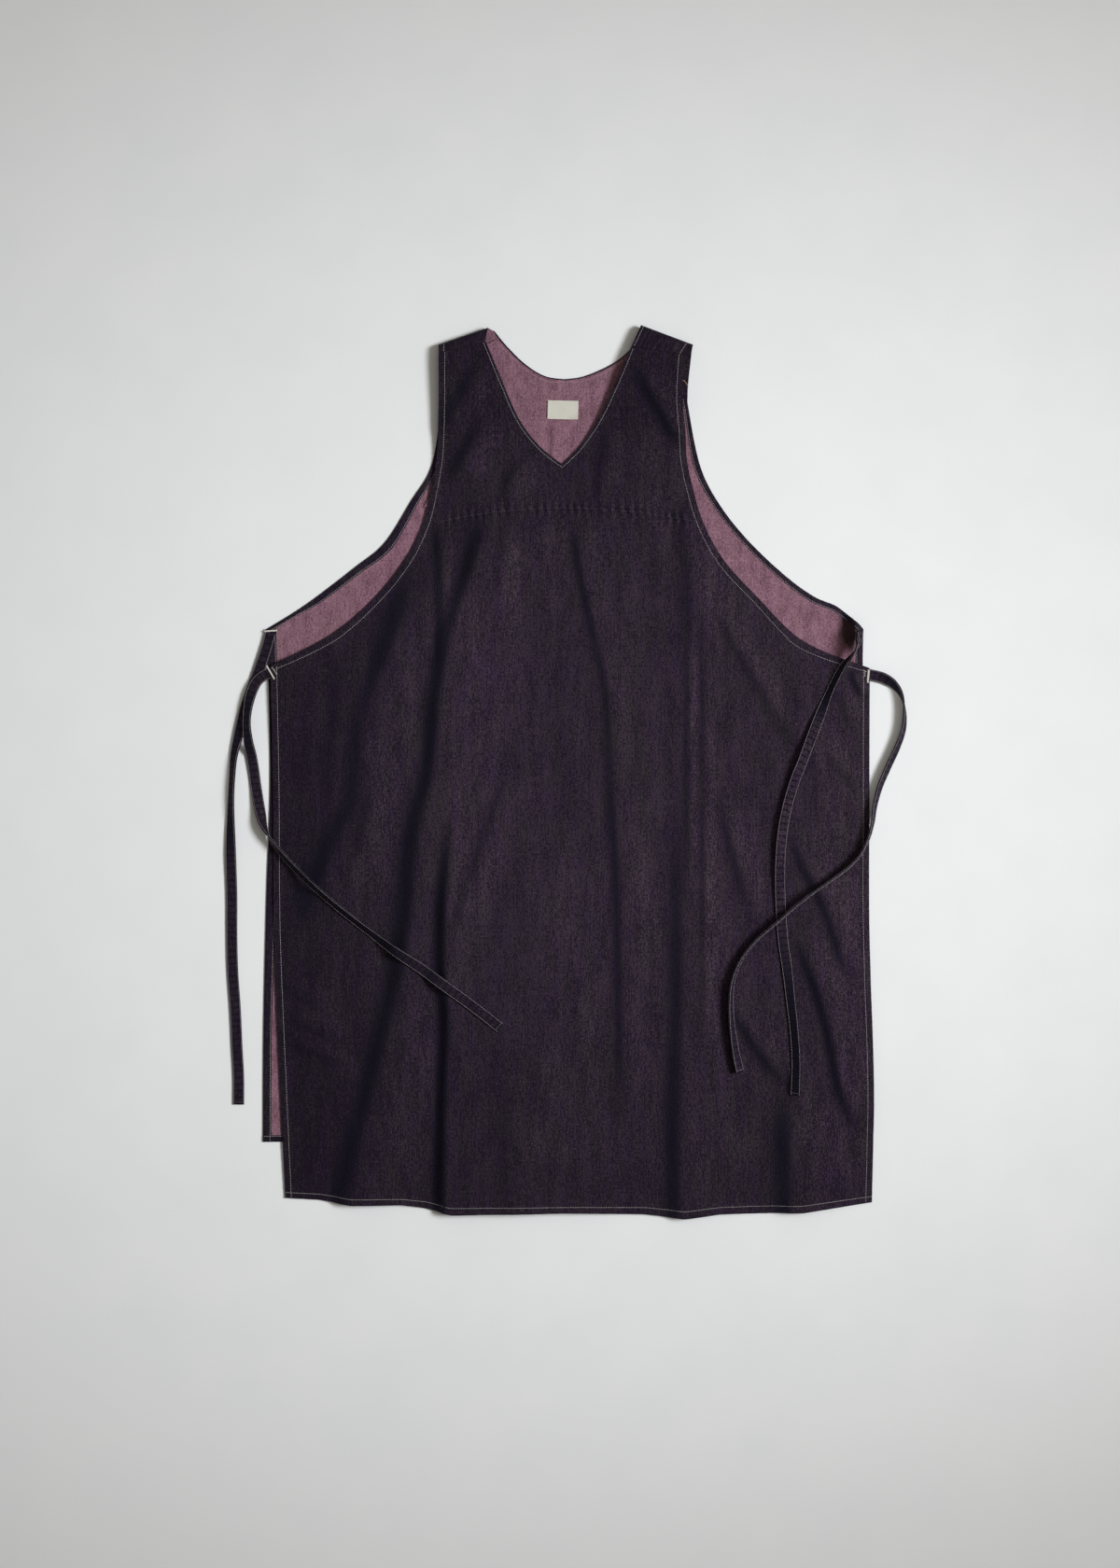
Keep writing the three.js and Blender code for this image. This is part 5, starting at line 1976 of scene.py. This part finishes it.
@dataclass
class Apron:
    """The whole apron: panels, facing, label, ties and all stitching."""

    finishes: dict  # materials by name
    topstitch: Stitches = Stitches()
    tie_stitch: Stitches = Stitches(length=2.85, radius=0.2)
    chest_stitch: Stitches = Stitches(pitch=3.4, length=2.4, radius=0.36)
    facing_stitch: Stitches = Stitches(pitch=2.8, length=2.2, radius=0.3)
    facing_lift: float = 0.08  # of its stitches
    neck_roll: tuple = (0.2, 0.9, 0.8, 3.0)  # of the back: inset, height, radius and pitch of its rings
    tack_lift: tuple = (0.25, 1.2)  # over the cloth of the front, and over the ties on the back
    loose_start: tuple = (135.0, 460.0, 15.5)
    loose_run: tuple = (6.5, -7.0, -3.5)  # from the loose thread's start to its end
    loose_bend: float = 1.3
    loose_radius: float = 0.35

    def __post_init__(self) -> None:
        """Lays the panels and ties before anything is built."""
        self.front = FrontPanel()
        self.back = BackPanel()
        self.facing = NeckFacing()
        bed = Bed(self.front, self.back)
        self.ties = []
        for name in TIE_ROUTES:
            tie = Tie(name, tuck=TIE_TUCKS.get(name, Tie.tuck), settle=TIE_SETTLES.get(name, Tie.settle))
            tie.lay(bed)
            self.ties.append(tie)

    def build_ties(self) -> None:
        """Makes the four ties with their stitches."""
        finish = self.finishes
        for tie in self.ties:
            band = placed(f"{tie.name}_band", tie.band(), [finish["tie"]], "outer_cloth", tie.name)
            rows = tie.stitching(self.tie_stitch)
            tie.declare(band, placed(f"{tie.name}_topstitch", rows, [finish["tie_thread"]], "thread"))

    def build_panel(self, name: str, panel: Panel, stitch_lines: list) -> list:
        """Makes a panel with its hems and topstitching.

        Args:
            name: the panel's node.
            panel: its shape.
            stitch_lines: lines in the cloth's middle, each with its lift to the upper face.

        Returns:
            The cloth and the pieces on it.
        """
        outer, inner, thread = (self.finishes[key] for key in ("outer", "inner", "white_thread"))
        rows = Shape.joined([self.topstitch.over(lines, lift) for lines, lift in stitch_lines])
        return [
            placed(f"{name}_cloth", panel.wall(), [outer, inner], "outer_cloth", name),
            placed(f"{name}_hems", panel.hems(), [outer, outer], "outer_cloth"),
            placed(f"{name}_topstitch", rows, [thread], "thread"),
        ]

    def build_front(self) -> None:
        """Makes the front with its hems, topstitching and the tonal line across the chest."""
        front, lift = self.front, CLOTH / 2 + STITCH_LIFT
        lines = [(front.hem_lines(HEM_STITCH) + [front.neck_line(NECK_STITCH)], lift)]
        cloth, *others = self.build_panel("front_panel", front, lines)
        tonal = self.chest_stitch.over([front.chest_line()], lift)
        others.append(placed("front_panel_chest_stitch", tonal, [self.finishes["plum_thread"]], "thread"))
        area, below = front.area(), ["back_panel"]

    def build_back(self) -> None:
        """Makes the back with its hems, topstitching and rolled neck edge, seen on its inner face."""
        back, lift = self.back, CLOTH / 2 + STITCH_LIFT
        lines = [(back.hem_lines(HEM_STITCH), lift + HEM_EXTRA), (back.shoulder_lines(), lift)]
        cloth, *others = self.build_panel("back_panel", back, lines)
        inset, high, radius, pitch = self.neck_roll
        edge = bead(even_line(back.neck_line(inset), pitch) + UP * high, radius)
        others.append(placed("back_panel_neck_edge", edge, [self.finishes["outer"]], "outer_cloth"))
        back.area()

    def build_facing(self) -> None:
        """Makes the facing inside the back neck, its edge stitch and the label on it."""
        finish, facing = self.finishes, self.facing
        inner, label = [finish["inner"]] * 2, [finish["label"]] * 2
        cloth = placed("neck_facing_cloth", facing.wall(), inner, "inner_cloth", "back_neck_facing")
        row = self.facing_stitch.over([facing.neck_line(NECK_STITCH)], CLOTH / 2 + self.facing_lift)
        stitches = placed("neck_facing_stitch", row, [finish["pink_thread"]], "thread")
        area = facing.area()
        patch = placed("neck_label_patch", NeckLabel().wall(), label, "label_weave", "neck_label")

    def build_tacks(self) -> None:
        """Makes the bar tacks where the ties are sewn in."""
        lifts = (CLOTH / 2 + self.tack_lift[0], 1.5 * CLOTH + HEM_EXTRA + GAP + self.tack_lift[1])
        shapes = []
        for panel, rows, lift in zip((self.front, self.back), (FRONT_TACKS, BACK_TACKS), lifts):
            for tack in (BarTack(*row) for row in rows):
                height = panel.heights(np.array([tack.x]), np.array([tack.y]), np.zeros(1))[0]
                shapes.append(tack.shape(float(height) + lift))
        placed("tie_bar_tacks", Shape.joined(shapes), [self.finishes["tack_thread"]], "thread")

    def build_loose_thread(self) -> None:
        """Makes the short thread end that hangs from the armhole's edge at the right shoulder."""
        t = np.linspace(0, 1, 9)
        line = np.stack([t, t**self.loose_bend, t], axis=1) * self.loose_run + self.loose_start
        placed("loose_thread_end", bead(line, self.loose_radius), [self.finishes["tan_thread"]], "thread")


def main() -> None:
    """Builds the camera, the apron and the studio in order."""
    logging.basicConfig(level=logging.INFO, format="%(name)s %(message)s")
    studio = Studio()
    studio.camera()
    apron = Apron({name: finish.build() for name, finish in FINISHES.items()})
    apron.build_ties()
    apron.build_back()
    apron.build_facing()
    apron.build_front()
    apron.build_tacks()
    apron.build_loose_thread()
    studio.build()


if __name__ == "__main__":
    main()
